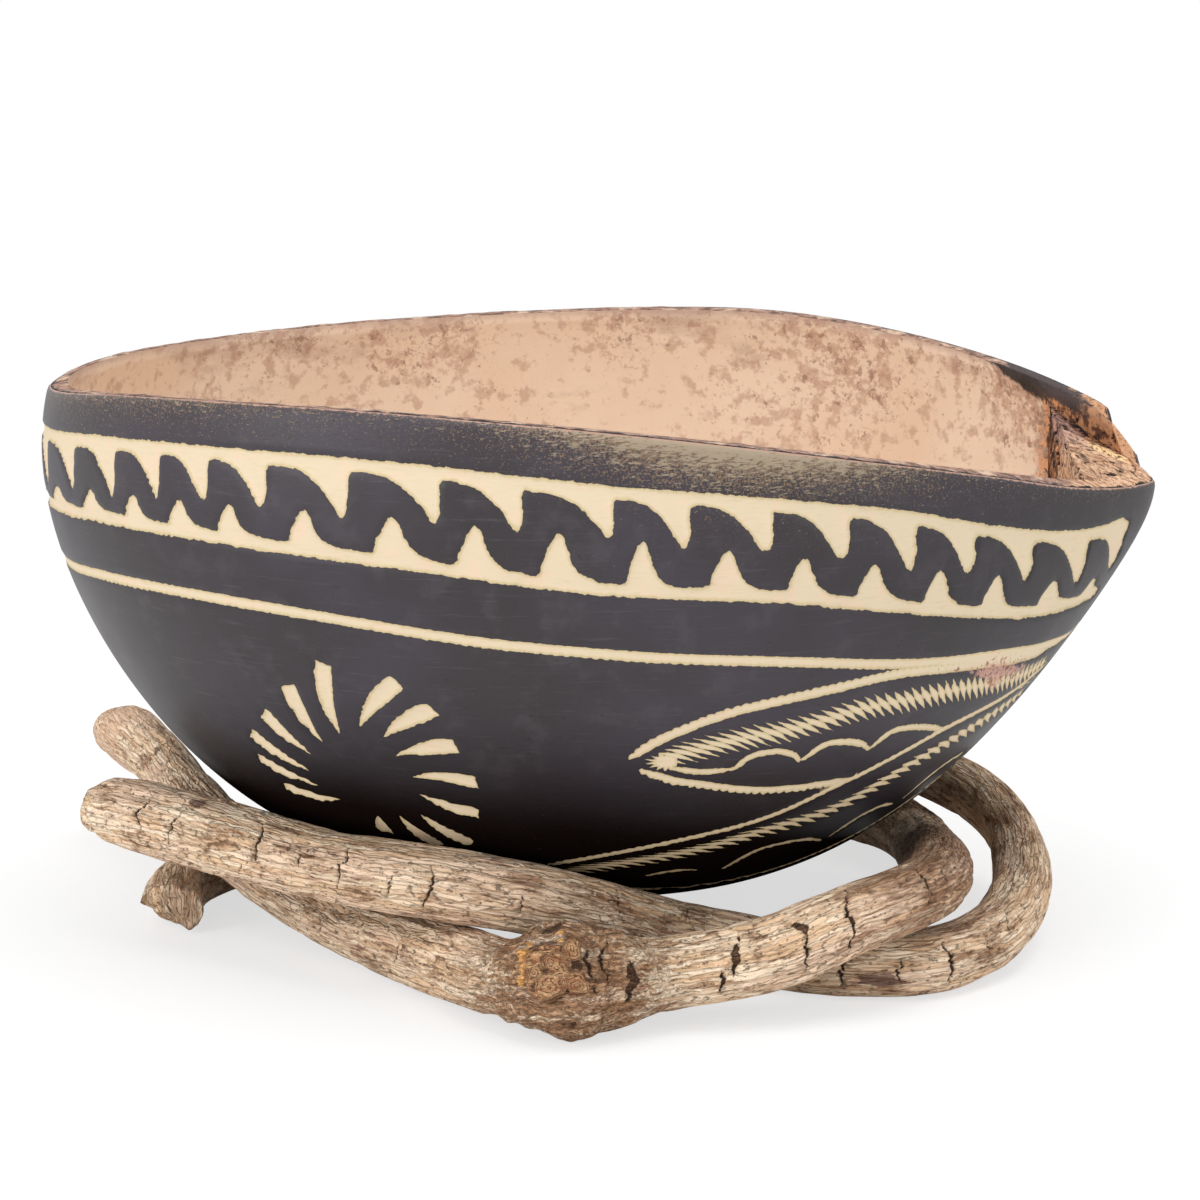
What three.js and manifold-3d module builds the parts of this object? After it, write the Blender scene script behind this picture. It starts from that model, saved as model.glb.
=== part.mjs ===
// Footed bowl: half of a calabash, cut lengthwise, resting loose in a wreath of two vine stems.
// Millimetres, +Z up. The origin is on the table under the middle of the whole object. The gourd's blossom
// end points to -X, its stem end to +X, and the side towards -Y is the near side.
import * as THREE from "three";
import { mergeVertices } from "three/addons/utils/BufferGeometryUtils.js";
import Module from "manifold-3d";

// The gourd's outer shape is turned round its long axis. Its radius is a sum of sine waves along the
// length.
const gourdLength = 200.6;
const bellyRadius = 76.3;
const blossomFullness = 4.3; // carries the belly towards the blossom end
const endTaper = 4.7; // draws both ends in
const stemShoulder = 1.9;
const tipTaper = 1.8;
const shellWall = 3.2;
const gourdTilt = 2.57; // degrees that the axis drops towards the stem end

// The rim, as [part of the gourd's length from the blossom end, height over the gourd's axis]. The far rim
// ends in a broken notch beside the stem.
const nearRim = [[0, 9.6], [0.03, 11.6], [0.08, 14.4], [0.17, 17.1], [0.3, 18.7], [0.45, 18.3], [0.6, 16.3],
  [0.73, 13], [0.83, 9], [0.91, 4.6], [0.96, 2.4], [1, 1.2]];
const farRim = [[0, 9.6], [0.03, 10.8], [0.12, 11.7], [0.26, 13.6], [0.4, 15.8], [0.54, 18], [0.66, 19.3],
  [0.77, 18.5], [0.88, 16.3], [0.945, 14], [0.967, 12.6], [0.972, 5.2], [0.988, 4.8], [0.992, 2.2],
  [1, 1.2]];

// The fibrous stem block, left standing inside the stem end.
const stemBlockDepth = 16.5; // from the tip to the block's inner face
const stemBlockTop = 7; // height of the face's top edge over the gourd's axis, in the middle
const stemBlockFall = 19; // degrees that the top falls towards the tip
const stemBlockLean = 5; // degrees that the top falls towards the near side

// The vine stems. In the routes, x and y are hundredths of the wreath's reach. The height of the centre,
// before the stems are rubbed flat underneath, and the radius are counted in stem thicknesses, so that the
// stems go on lying on the table and on each other when they get thicker.
const wreathReach = 100; // about half of the wreath's length
const stemThickness = 12;
const burlRadius = 0.87; // the knotted swelling, in stem thicknesses
const tableFlat = 0.5; // how deep the stems are rubbed flat where they stand
const seatGap = 0.3; // between the bowl and the stems that carry it, and between the two stems

// The inner stem: from its cut end at the back left, over its own tail, down to the burl at the front, up
// over the outer stem at the right, and back along the table under the bowl to the stub at the front left.
const innerRoute = [[-97, 65, 1.83, 0.54], [-91, 50, 1.79, 0.52], [-84.5, 35, 1.73, 0.48],
  [-78, 18, 1.65, 0.47], [-71.5, 2, 1.51, 0.48], [-63.5, -9, 1.17, 0.52], [-53, -19, 0.83, 0.54],
  [-43, -29, 0.65, 0.56], [-33, -41, 0.61, 0.57], [-23, -54, 0.65, 0.575], [-15.5, -64, 0.73, 0.61],
  [-7, -69, 0.865, burlRadius], [0.5, -68, 0.84, 0.77], [9, -64.5, 0.8, 0.58], [20, -63, 0.9, 0.55],
  [31, -62, 1.12, 0.54], [42, -58.5, 1.44, 0.53], [51, -54, 1.61, 0.525], [57.2, -45, 1.64, 0.525],
  [60, -30, 1.51, 0.53], [60.5, -14, 1.26, 0.53], [60.8, 2, 1, 0.53], [61, 18, 0.77, 0.525],
  [60.3, 34, 0.59, 0.51], [55.5, 50, 0.5, 0.5], [43, 60, 0.49, 0.49], [25, 61, 0.49, 0.49],
  [2, 57, 0.48, 0.48], [-22, 48, 0.48, 0.48], [-44, 37, 0.47, 0.475], [-62, 27, 0.47, 0.475],
  [-74, 14, 0.47, 0.475], [-78, 1, 0.47, 0.48], [-77.8, -14.5, 0.49, 0.49]];

// The outer stem: from its blunt end at the left, high across the front under the bowl's near side, down
// behind the burl, out under the inner stem, round the right and up over it again to carry the bowl's far
// side.
const outerRoute = [[-90.5, -15.5, 2.14, 0.42], [-87, -17.5, 2.15, 0.54], [-74, -26, 2.09, 0.58],
  [-60, -36.5, 2.02, 0.565], [-45, -46.5, 1.94, 0.56], [-29, -53, 1.89, 0.56], [-13, -53.5, 1.66, 0.55],
  [-1, -49, 1.31, 0.54], [9, -43.5, 0.94, 0.53], [19, -39.5, 0.66, 0.525], [31, -42, 0.52, 0.525],
  [45, -47, 0.515, 0.515], [58, -44.5, 0.52, 0.515], [69, -33, 0.59, 0.5], [76, -15, 0.82, 0.475],
  [77, 6, 1.16, 0.46], [72, 25, 1.42, 0.465], [61, 41, 1.59, 0.48], [45, 52, 1.72, 0.49],
  [24, 55.5, 1.79, 0.485], [2, 55.3, 1.79, 0.485], [-20, 53.5, 1.77, 0.475], [-42, 48, 1.72, 0.465],
  [-58, 42, 1.66, 0.465], [-70, 37, 1.62, 0.465]];

// How finely the solids are faceted.
const outsideFacets = { along: 40, around: 64 };
const insideFacets = { along: 28, around: 48 };
const rimFacets = 40;
const stemSides = 12;
const stemStep = 5;
const seatSearchSteps = 24; // halvings in the search for the height at which the bowl rests

const wasm = await Module();
wasm.setup();

// A smooth curve through [place, value] pairs that doesn't swing past its points beside a step.
function curveThrough(pairs) {
  const slopeAt = (k) => {
    const before = pairs[Math.max(k - 1, 0)];
    const after = pairs[Math.min(k + 1, pairs.length - 1)];
    return (after[1] - before[1]) / (after[0] - before[0]);
  };
  return (place) => {
    let i = 0;
    while (i < pairs.length - 2 && place > pairs[i + 1][0]) i += 1;
    const [[start, from], [end, to]] = [pairs[i], pairs[i + 1]];
    const span = end - start;
    const u = THREE.MathUtils.clamp((place - start) / span, 0, 1);
    const steepest = 2 * Math.abs((to - from) / span);
    const [leave, arrive] = [i, i + 1].map((k) => THREE.MathUtils.clamp(slopeAt(k), -steepest, steepest));
    const level = from + (to - from) * u * u * (3 - 2 * u);
    return level + span * u * (1 - u) * (leave * (1 - u) - arrive * u);
  };
}

// Rings of points, each as long as the next, joined into a closed skin with a point at each end.
function skin(rings, firstPole, lastPole) {
  const count = rings[0].length;
  const points = [firstPole, ...rings.flat(), lastPole];
  const triangles = [];
  const at = (ring, k) => 1 + ring * count + (k % count);
  for (let k = 0; k < count; k += 1) triangles.push(0, at(0, k + 1), at(0, k));
  for (let ring = 0; ring + 1 < rings.length; ring += 1) {
    for (let k = 0; k < count; k += 1) {
      const [a, b, c, d] = [at(ring, k), at(ring, k + 1), at(ring + 1, k + 1), at(ring + 1, k)];
      triangles.push(a, b, c, a, c, d);
    }
  }
  const last = rings.length - 1;
  for (let k = 0; k < count; k += 1) triangles.push(points.length - 1, at(last, k), at(last, k + 1));
  const geometry = new THREE.BufferGeometry().setFromPoints(points);
  geometry.setIndex(triangles);
  return geometry;
}

function toSolid(geometry) {
  const bare = geometry.clone();
  bare.deleteAttribute("normal");
  bare.deleteAttribute("uv");
  const merged = mergeVertices(bare);
  const vertProperties = new Float32Array(merged.attributes.position.array);
  const triVerts = new Uint32Array(merged.index.array);
  return new wasm.Manifold(new wasm.Mesh({ numProp: 3, vertProperties, triVerts }));
}

function toGeometry(solid) {
  const mesh = solid.getMesh();
  const geometry = new THREE.BufferGeometry();
  geometry.setAttribute("position", new THREE.Float32BufferAttribute(mesh.vertProperties, 3));
  geometry.setIndex(Array.from(mesh.triVerts));
  return geometry;
}

// The gourd's outer radius at an angle that runs from 0 at the blossom end to half a turn at the stem end.
function gourdRadius(angle) {
  const waves = [bellyRadius, blossomFullness, -endTaper, stemShoulder, -tipTaper];
  return waves.reduce((sum, wave, k) => sum + wave * Math.sin((k + 1) * angle), 0);
}

// The whole gourd, or its hollow when inset is the shell's wall, lying along X about its middle.
function gourdSolid(inset, facets) {
  const half = gourdLength / 2 - inset;
  const rings = Array.from({ length: facets.along - 1 }, (_, i) => {
    const angle = (Math.PI * (i + 1)) / facets.along;
    const radius = (gourdRadius(angle) * half) / (half + inset) - inset * Math.sin(angle) ** 2;
    return Array.from({ length: facets.around }, (_, k) => {
      const turn = (2 * Math.PI * k) / facets.around;
      return new THREE.Vector3(-half * Math.cos(angle), radius * Math.cos(turn), radius * Math.sin(turn));
    });
  });
  return toSolid(skin(rings, new THREE.Vector3(-half, 0, 0), new THREE.Vector3(half, 0, 0)));
}

// Everything above the cut that makes the rim. Across the bowl, the cut runs straight from the near rim to
// the far rim, and it is level outside them.
function aboveRimSolid() {
  const [nearHeight, farHeight] = [curveThrough(nearRim), curveThrough(farRim)];
  const ceiling = 2 * bellyRadius;
  const steps = Array.from({ length: rimFacets + 1 }, (_, k) => k / rimFacets);
  const places = [...new Set([...steps, ...nearRim.map(([part]) => part), ...farRim.map(([part]) => part)])];
  const slices = places.sort((a, b) => a - b).map((part) => {
    const [near, far] = [nearHeight(part), farHeight(part)];
    const radius = gourdRadius(Math.acos(1 - 2 * part));
    const halfWidth = Math.sqrt(Math.max(radius ** 2 - (near + far) ** 2 / 4, 0)) + shellWall / 4;
    return { x: (part - 0.5) * gourdLength, near, far, halfWidth };
  });
  slices.unshift({ ...slices[0], x: -gourdLength });
  slices.push({ ...slices.at(-1), x: gourdLength });
  const rings = slices.map(({ x, near, far, halfWidth }) => [
    new THREE.Vector3(x, -ceiling, near),
    new THREE.Vector3(x, -halfWidth, near),
    new THREE.Vector3(x, halfWidth, far),
    new THREE.Vector3(x, ceiling, far),
    new THREE.Vector3(x, ceiling, ceiling),
    new THREE.Vector3(x, -ceiling, ceiling),
  ]);
  const middle = (x) => new THREE.Vector3(x, 0, bellyRadius);
  return toSolid(skin(rings, middle(-gourdLength), middle(gourdLength)));
}

// The stem end is left full below a slanted top, back to a square face.
function stemBlockSolid() {
  const face = gourdLength / 2 - stemBlockDepth;
  const block = new THREE.BoxGeometry(gourdLength, gourdLength, gourdLength);
  block.translate(face + gourdLength / 2, 0, 0);
  const corners = block.attributes.position;
  const fall = Math.tan(THREE.MathUtils.degToRad(stemBlockFall));
  const lean = Math.tan(THREE.MathUtils.degToRad(stemBlockLean));
  for (let k = 0; k < corners.count; k += 1) {
    const top = stemBlockTop - (corners.getX(k) - face) * fall + corners.getY(k) * lean;
    if (corners.getZ(k) > 0) corners.setZ(k, top);
  }
  return toSolid(block);
}

// A stem's centreline and its radius along it, sampled at an even step.
function stemSamples(route) {
  const centres = route.map(([x, y, height]) => new THREE.Vector3(
    (x * wreathReach) / 100,
    (y * wreathReach) / 100,
    height * stemThickness - tableFlat,
  ));
  const curve = new THREE.CatmullRomCurve3(centres, false, "centripetal");
  const radiusAt = curveThrough(route.map((point, k) => [k / (route.length - 1), point[3] * stemThickness]));
  const steps = Math.round(curve.getLength() / stemStep);
  return Array.from({ length: steps + 1 }, (_, k) => {
    const t = curve.getUtoTmapping(k / steps);
    return { centre: curve.getPoint(t), tangent: curve.getTangent(t), radius: radiusAt(t) };
  });
}

// A stem as a closed tube, thickened all round and at its ends by extra. The rings are carried along the
// route without twisting.
function stemSolid(samples, extra) {
  let side = new THREE.Vector3(0, 0, 1);
  const rings = samples.map(({ centre, tangent, radius }) => {
    side = side.clone().addScaledVector(tangent, -side.dot(tangent)).normalize();
    const across = new THREE.Vector3().crossVectors(tangent, side);
    return Array.from({ length: stemSides }, (_, k) => {
      const turn = (2 * Math.PI * (k + 0.5)) / stemSides;
      return centre.clone()
        .addScaledVector(side, (radius + extra) * Math.cos(turn))
        .addScaledVector(across, (radius + extra) * Math.sin(turn));
    });
  });
  const [first, last] = [samples[0], samples.at(-1)];
  return toSolid(skin(
    rings,
    first.centre.clone().addScaledVector(first.tangent, -extra),
    last.centre.clone().addScaledVector(last.tangent, extra),
  ));
}

// The table under the stems, which their undersides are rubbed flat on.
function tableSolid() {
  const span = 3 * gourdLength;
  const depth = 2 * stemThickness;
  return toSolid(new THREE.BoxGeometry(span, span, depth).translate(0, 0, -depth / 2));
}

// The height of the gourd's middle at which the bowl just rests: it comes down until the nearest stem is
// the seat gap away.
function restHeight(samples) {
  const level = new THREE.Matrix4().makeRotationY(-THREE.MathUtils.degToRad(gourdTilt));
  const outline = Array.from({ length: 241 }, (_, k) => {
    const angle = (Math.PI * k) / 240;
    return { x: (-gourdLength / 2) * Math.cos(angle), radius: gourdRadius(angle) };
  });
  const clearance = (height) => Math.min(...samples.map(({ centre, radius }) => {
    const p = centre.clone().sub(new THREE.Vector3(0, 0, height)).applyMatrix4(level);
    const fromAxis = Math.hypot(p.y, p.z);
    const gaps = outline.map((point) => Math.hypot(point.x - p.x, point.radius - fromAxis));
    const nearest = outline[gaps.indexOf(Math.min(...gaps))];
    const outside = fromAxis > nearest.radius || Math.abs(p.x) > gourdLength / 2;
    return (outside ? 1 : -1) * Math.min(...gaps) - radius;
  }));
  let [low, high] = [bellyRadius / 2, 2 * bellyRadius];
  for (let i = 0; i < seatSearchSteps; i += 1) {
    const middle = (low + high) / 2;
    if (clearance(middle) < seatGap) low = middle;
    else high = middle;
  }
  return high;
}

const stainedShell = new THREE.MeshStandardMaterial({ color: 0x3c383c, roughness: 0.55, metalness: 0 });
const dryBark = new THREE.MeshStandardMaterial({ color: 0xb89a7c, roughness: 0.85, metalness: 0 });

const innerSamples = stemSamples(innerRoute);
const outerSamples = stemSamples(outerRoute);
const table = tableSolid();

const vineInner = new THREE.Mesh(toGeometry(stemSolid(innerSamples, 0).subtract(table)), dryBark);
vineInner.name = "vine_inner";

const outerStem = stemSolid(outerSamples, 0).subtract(stemSolid(innerSamples, seatGap)).subtract(table);
const vineOuter = new THREE.Mesh(toGeometry(outerStem), dryBark);
vineOuter.name = "vine_outer";

const hollow = gourdSolid(shellWall, insideFacets).subtract(stemBlockSolid());
const shell = gourdSolid(0, outsideFacets).subtract(hollow).subtract(aboveRimSolid());
const gourdBowl = new THREE.Mesh(toGeometry(shell), stainedShell);
gourdBowl.name = "gourd_bowl";
gourdBowl.rotation.y = THREE.MathUtils.degToRad(gourdTilt);
gourdBowl.position.z = restHeight([...innerSamples, ...outerSamples]);

const footedBowl = new THREE.Group();
footedBowl.add(gourdBowl, vineInner, vineOuter);
const middle = new THREE.Box3().setFromObject(footedBowl, true).getCenter(new THREE.Vector3());
footedBowl.position.set(-middle.x, -middle.y, 0);

export default footedBowl;
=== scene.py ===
import bpy
import numpy as np
from math import cos, pi, radians, sin, tan
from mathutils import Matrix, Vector


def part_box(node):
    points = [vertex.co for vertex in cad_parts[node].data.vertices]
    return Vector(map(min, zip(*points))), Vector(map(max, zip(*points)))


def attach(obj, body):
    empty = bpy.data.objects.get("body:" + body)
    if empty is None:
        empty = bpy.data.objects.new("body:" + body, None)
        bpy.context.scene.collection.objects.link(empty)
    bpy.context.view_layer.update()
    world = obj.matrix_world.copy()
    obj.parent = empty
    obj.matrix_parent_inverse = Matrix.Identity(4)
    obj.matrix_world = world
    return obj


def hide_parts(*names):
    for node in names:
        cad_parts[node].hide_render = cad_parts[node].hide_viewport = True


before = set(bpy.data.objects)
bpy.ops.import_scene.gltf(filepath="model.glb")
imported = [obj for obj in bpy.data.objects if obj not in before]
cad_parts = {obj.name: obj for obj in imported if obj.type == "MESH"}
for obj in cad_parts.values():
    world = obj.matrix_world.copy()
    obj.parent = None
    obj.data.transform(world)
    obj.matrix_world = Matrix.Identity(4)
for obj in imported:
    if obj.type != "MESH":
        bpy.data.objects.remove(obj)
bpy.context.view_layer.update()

# Shapes are worked out in millimetres and written to the meshes in metres
mm = 0.001


def srgb(red, green, blue):
    # a colour as it is seen, 0 to 255, as the linear one that Blender wants
    def linear(level):
        level = level / 255
        return level / 12.92 if level <= 0.04045 else ((level + 0.055) / 1.055) ** 2.4
    return (linear(red), linear(green), linear(blue), 1.0)


def curveThrough(pairs):
    # a smooth curve through [place, value] pairs that doesn't swing past its points beside a step
    places, values = np.array(pairs, float).T
    last = len(places) - 1
    before = np.maximum(np.arange(last + 1) - 1, 0)
    after = np.minimum(np.arange(last + 1) + 1, last)
    slopes = (values[after] - values[before]) / (places[after] - places[before])

    def at(place):
        i = np.clip(np.searchsorted(places, place, side="left") - 1, 0, last - 1)
        span = places[i + 1] - places[i]
        u = np.clip((place - places[i]) / span, 0, 1)
        rise = values[i + 1] - values[i]
        steepest = 2 * np.abs(rise / span)
        leave = np.clip(slopes[i], -steepest, steepest)
        arrive = np.clip(slopes[i + 1], -steepest, steepest)
        level = values[i] + rise * u * u * (3 - 2 * u)
        return level + span * u * (1 - u) * (leave * (1 - u) - arrive * u)
    return at


def smoothStep(low, high, value):
    t = np.clip((value - low) / (high - low), 0, 1)
    return t * t * (3 - 2 * t)


def hill(value, middle, width):
    # 1 at the middle, falling off smoothly over the width
    return np.exp(-((value - middle) / width) ** 2)


def unevenness(points, size, seed):
    # smooth noise from -1 to 1, with one bump about every size millimetres; size may differ by axis
    count = 32
    table = np.random.default_rng(seed).uniform(-1, 1, (count, count, count))
    scaled = np.asarray(points) / size
    cell = np.floor(scaled).astype(int)
    part = scaled - cell
    part = part * part * (3 - 2 * part)
    total = 0
    for corner in np.ndindex(2, 2, 2):
        weight = np.prod(np.where(corner, part, 1 - part), axis=-1)
        i, j, k = ((cell + corner) % count).T
        total = total + weight * table[i.T, j.T, k.T]
    return total


def smoothLine(points, steps=8):
    # a rounded line through points of any number of values
    points = np.array(points, float)
    ends = np.vstack([2 * points[0] - points[1], points, 2 * points[-1] - points[-2]])
    pieces = []
    for a, b, c, d in zip(ends, ends[1:], ends[2:], ends[3:]):
        u = np.linspace(0, 1, steps, endpoint=False)[:, None]
        pieces.append(b + 0.5 * u * (c - a + u * (2 * a - 5 * b + 4 * c - d + u * (3 * (b - c) + d - a))))
    return np.vstack(pieces + [points[-1:]])


def lengthsAlong(line):
    return np.concatenate([[0], np.cumsum(np.linalg.norm(np.diff(line, axis=0), axis=1))])


def resampled(line, lengths, places):
    return np.stack([np.interp(places, lengths, line[:, k]) for k in range(3)], -1)


def aroundZero(turn, whole=2 * pi):
    return (turn + whole / 2) % whole - whole / 2


# Mesh making

def ringFaces(first, second):
    # faces between two rings of vertex numbers, where one may have half as many as the other
    count = max(len(first), len(second))
    if len(first) < len(second):
        return flipped(ringFaces(second, first))
    faces = []
    for k in range(count):
        after, far = first[(k + 1) % count], first[(k + 2) % count]
        if len(first) == len(second):
            faces.append((first[k], after, second[(k + 1) % count], second[k]))
        elif k % 2 == 0:
            coarse, nextCoarse = second[k // 2], second[(k // 2 + 1) % len(second)]
            faces += [(first[k], after, coarse), (after, nextCoarse, coarse), (after, far, nextCoarse)]
    return faces


def bridge(rings):
    return [face for first, second in zip(rings, rings[1:]) for face in ringFaces(first, second)]


def closeRing(ring, pole):
    # faces from a ring to the point in its middle
    return [(ring[k], ring[(k + 1) % len(ring)], pole) for k in range(len(ring))]


def flipped(faces):
    return [tuple(face[::-1]) for face in faces]


def addObject(name, data):
    item = bpy.data.objects.new(name, data)
    bpy.context.scene.collection.objects.link(item)
    return item


def makePiece(name, points, faces, materials, faceSlots=None, values=None, vectors=None):
    mesh = bpy.data.meshes.new(name)
    mesh.from_pydata((np.asarray(points) * mm).tolist(), [], [[int(k) for k in face] for face in faces])
    for material in materials:
        mesh.materials.append(material)
    if faceSlots is not None:
        mesh.polygons.foreach_set("material_index", faceSlots)
    mesh.polygons.foreach_set("use_smooth", [True] * len(mesh.polygons))
    for label, numbers in (values or {}).items():
        layer = mesh.attributes.new(label, "FLOAT", "POINT")
        layer.data.foreach_set("value", np.asarray(numbers, np.float32))
    for label, numbers in (vectors or {}).items():
        layer = mesh.attributes.new(label, "FLOAT_VECTOR", "POINT")
        layer.data.foreach_set("vector", np.asarray(numbers, np.float32).ravel())
    mesh.validate()
    mesh.update()
    print(name, "made:", len(mesh.vertices), "points,", len(mesh.polygons), "faces")
    return addObject(name, mesh)


# Shader helpers

class nodeValue:
    # one output of a node, with which sums are written as with a number
    def __init__(self, tree, socket):
        self.tree, self.socket = tree, socket

    def __add__(self, other):
        return calc("ADD", self, other)

    def __radd__(self, other):
        return calc("ADD", other, self)

    def __sub__(self, other):
        return calc("SUBTRACT", self, other)

    def __rsub__(self, other):
        return calc("SUBTRACT", other, self)

    def __mul__(self, other):
        return calc("MULTIPLY", self, other)

    def __truediv__(self, other):
        return calc("DIVIDE", self, other)

    def __rtruediv__(self, other):
        return calc("DIVIDE", other, self)

    def __abs__(self):
        return calc("ABSOLUTE", self)


def setInputs(tree, node, values):
    for label, value in values.items():
        if isinstance(value, nodeValue):
            tree.links.new(value.socket, node.inputs[label])
        else:
            node.inputs[label].default_value = value


def newNode(tree, kind, values=None, output=0, **settings):
    # makes a node and gives back one of its outputs
    node = tree.nodes.new(kind)
    for label, value in settings.items():
        setattr(node, label, value)
    setInputs(tree, node, values or {})
    return nodeValue(tree, node.outputs[output])


def calc(operation, first, second=0.5):
    tree = (first if isinstance(first, nodeValue) else second).tree
    return newNode(tree, "ShaderNodeMath", {0: first, 1: second}, operation=operation)


def vectorCalc(operation, first, second, label=1):
    return newNode(first.tree, "ShaderNodeVectorMath", {0: first, label: second}, operation=operation)


def axesOf(place):
    node = newNode(place.tree, "ShaderNodeSeparateXYZ", {0: place}).socket.node
    return [nodeValue(place.tree, axis) for axis in node.outputs]


def remap(value, fromLow, fromHigh, toLow=0.0, toHigh=1.0):
    values = {"Value": value, "From Min": fromLow, "From Max": fromHigh, "To Min": toLow, "To Max": toHigh}
    return newNode(value.tree, "ShaderNodeMapRange", values, "Result", interpolation_type="SMOOTHSTEP")


def mixColour(mask, first, second):
    return newNode(mask.tree, "ShaderNodeMix", {0: mask, 6: first, 7: second}, 2, data_type="RGBA")


def paintOver(palette, base, *layers):
    # lays colours over a base one by one, each by its mask; a colour is a name in the palette or a value
    for mask, tone in layers:
        base = mixColour(mask, base, palette[tone] if isinstance(tone, str) else tone)
    return base


def noise(place, scale, detail=3.0, roughness=0.55, output="Fac"):
    values = {"Vector": place, "Scale": scale, "Detail": detail, "Roughness": roughness}
    return newNode(place.tree, "ShaderNodeTexNoise", values, output)


def stretched(place, scale, rotation=(0.0, 0.0, 0.0)):
    values = {"Vector": place, "Rotation": rotation, "Scale": scale}
    return newNode(place.tree, "ShaderNodeMapping", values, "Vector")


def surfaceValue(tree, label):
    return newNode(tree, "ShaderNodeAttribute", None, "Fac", attribute_name=label)


def surfaceVector(tree, label):
    return newNode(tree, "ShaderNodeAttribute", None, "Vector", attribute_name=label)


def objectPlace(tree):
    # the place on the piece in millimetres
    return stretched(newNode(tree, "ShaderNodeTexCoord", None, "Object"), (1 / mm, 1 / mm, 1 / mm))


def nodeGroup(name, inputs, outputs):
    # turns the function below it into a node group, and its name into what places that group in a material
    def build(work):
        group = bpy.data.node_groups.new(name, "ShaderNodeTree")
        for label in inputs:
            kind = "NodeSocketVector" if label in ("Place", "Line") else "NodeSocketFloat"
            group.interface.new_socket(name=label, in_out="INPUT", socket_type=kind)
        for label in outputs:
            group.interface.new_socket(name=label, in_out="OUTPUT", socket_type="NodeSocketFloat")
        given = group.nodes.new("NodeGroupInput").outputs
        made = group.nodes.new("NodeGroupOutput")
        results = work(*[nodeValue(group, given[label]) for label in inputs])
        setInputs(group, made, dict(zip(outputs, results)))

        def placeIt(*values):
            tree = values[0].tree
            node = newNode(tree, "ShaderNodeGroup", dict(zip(inputs, values)), node_tree=group).socket.node
            results = [nodeValue(tree, node.outputs[label]) for label in outputs]
            return results if len(results) > 1 else results[0]
        return placeIt
    return build


def newMaterial(name, shown):
    material = bpy.data.materials.new(name)
    material.use_nodes = True
    material.diffuse_color = shown
    return material, material.node_tree


def finishMaterial(material, base, height, strength, depth, roughness, specular=0.25):
    # joins colour, roughness and bump to the shader
    tree = material.node_tree
    bump = newNode(tree, "ShaderNodeBump", {"Strength": strength, "Distance": depth, "Height": height})
    setInputs(tree, tree.nodes["Principled BSDF"], {
        "Base Color": base, "Roughness": roughness, "Specular IOR Level": specular, "Normal": bump})
    return material


@nodeGroup("Speckle", ["Place", "Scale", "Amount"], ["Mask"])
def speckle(place, scale, amount):
    # small spots, denser where the amount is higher
    edge = 0.78 - amount * 0.42
    return [remap(noise(place, scale, 4.0, 0.7) - edge, -0.03, 0.05)]


@nodeGroup("Wood grain", ["Place", "Width", "Wander"], ["Fibres", "Bands"])
def woodGrain(place, width, wander):
    # long wavy fibres that run along the X of the place, and broader bands of them
    shift = vectorCalc("SCALE", noise(place, 0.09, 2.0, 0.5, "Color"), wander, "Scale")
    moved = vectorCalc("ADD", place, shift)
    scale = 1.0 / width
    fibres = noise(stretched(moved, (0.09, 1.0, 1.0)), scale, 5.0, 0.62)
    return [fibres, noise(stretched(moved, (0.16, 1.0, 1.0)), scale * 0.22, 3.0, 0.6)]


# The next four give how far a point is from a cut's edge, below zero inside it

@nodeGroup("Carved line", ["Line", "Bead", "Pitch"], ["Gap"])
def carvedLine(line, bead, pitch):
    # a line with beads on its outer side
    across, run, halfWidth = axesOf(line)
    beads = abs(calc("SINE", run / pitch * pi)) * bead
    return [abs(across) - halfWidth - beads * calc("LESS_THAN", across, 0.0)]


@nodeGroup("Feather strip", ["Line", "Pitch", "Body"], ["Gap"])
def featherStrip(line, pitch, body):
    # teeth on both sides of a middle line, of whose width the body stays whole; the run is slanted
    across, run, halfWidth = axesOf(line)
    fromMiddle = abs(calc("FRACT", run / pitch) - 0.5)
    reach = abs(across) / calc("MAXIMUM", halfWidth, 0.05)
    thin = fromMiddle - (1.0 - reach) / (1.0 - body) * 0.43
    return [calc("MAXIMUM", thin * pitch, abs(across) - halfWidth)]


@nodeGroup("Blade", ["Line", "Rough"], ["Gap"])
def taperedBlade(line, rough):
    # a tapering blade with one ragged flank; line holds the distance across, the way left and the half width
    across, left, halfWidth = axesOf(line)
    flank = rough * calc("GREATER_THAN", across, 0.0)
    return [calc("MAXIMUM", abs(across) + flank - halfWidth, rough * 0.8 - left)]


@nodeGroup("Fan", ["Place", "Blades", "Reach", "Half width"], ["Gap"])
def pointedFan(place, blades, longest, halfWidth):
    # pointed blades round a middle, on its left side; the third value of the place is 1 near a fan
    x, y, near = axesOf(place)
    reach = calc("SQRT", x * x + y * y)
    turn = calc("ARCTAN2", y, x) / (2 * pi)
    aside = abs(calc("FRACT", turn * blades) - 0.5) * reach / blades * (2 * pi)
    blade = aside - (1.0 - reach / longest) * halfWidth
    whole = calc("MINIMUM", blade, reach - longest * 0.6)
    return [calc("MAXIMUM", whole, x - 1.8) + (1.0 - near) * 40.0]


# The gourd, with the same sizes as the solid

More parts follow.
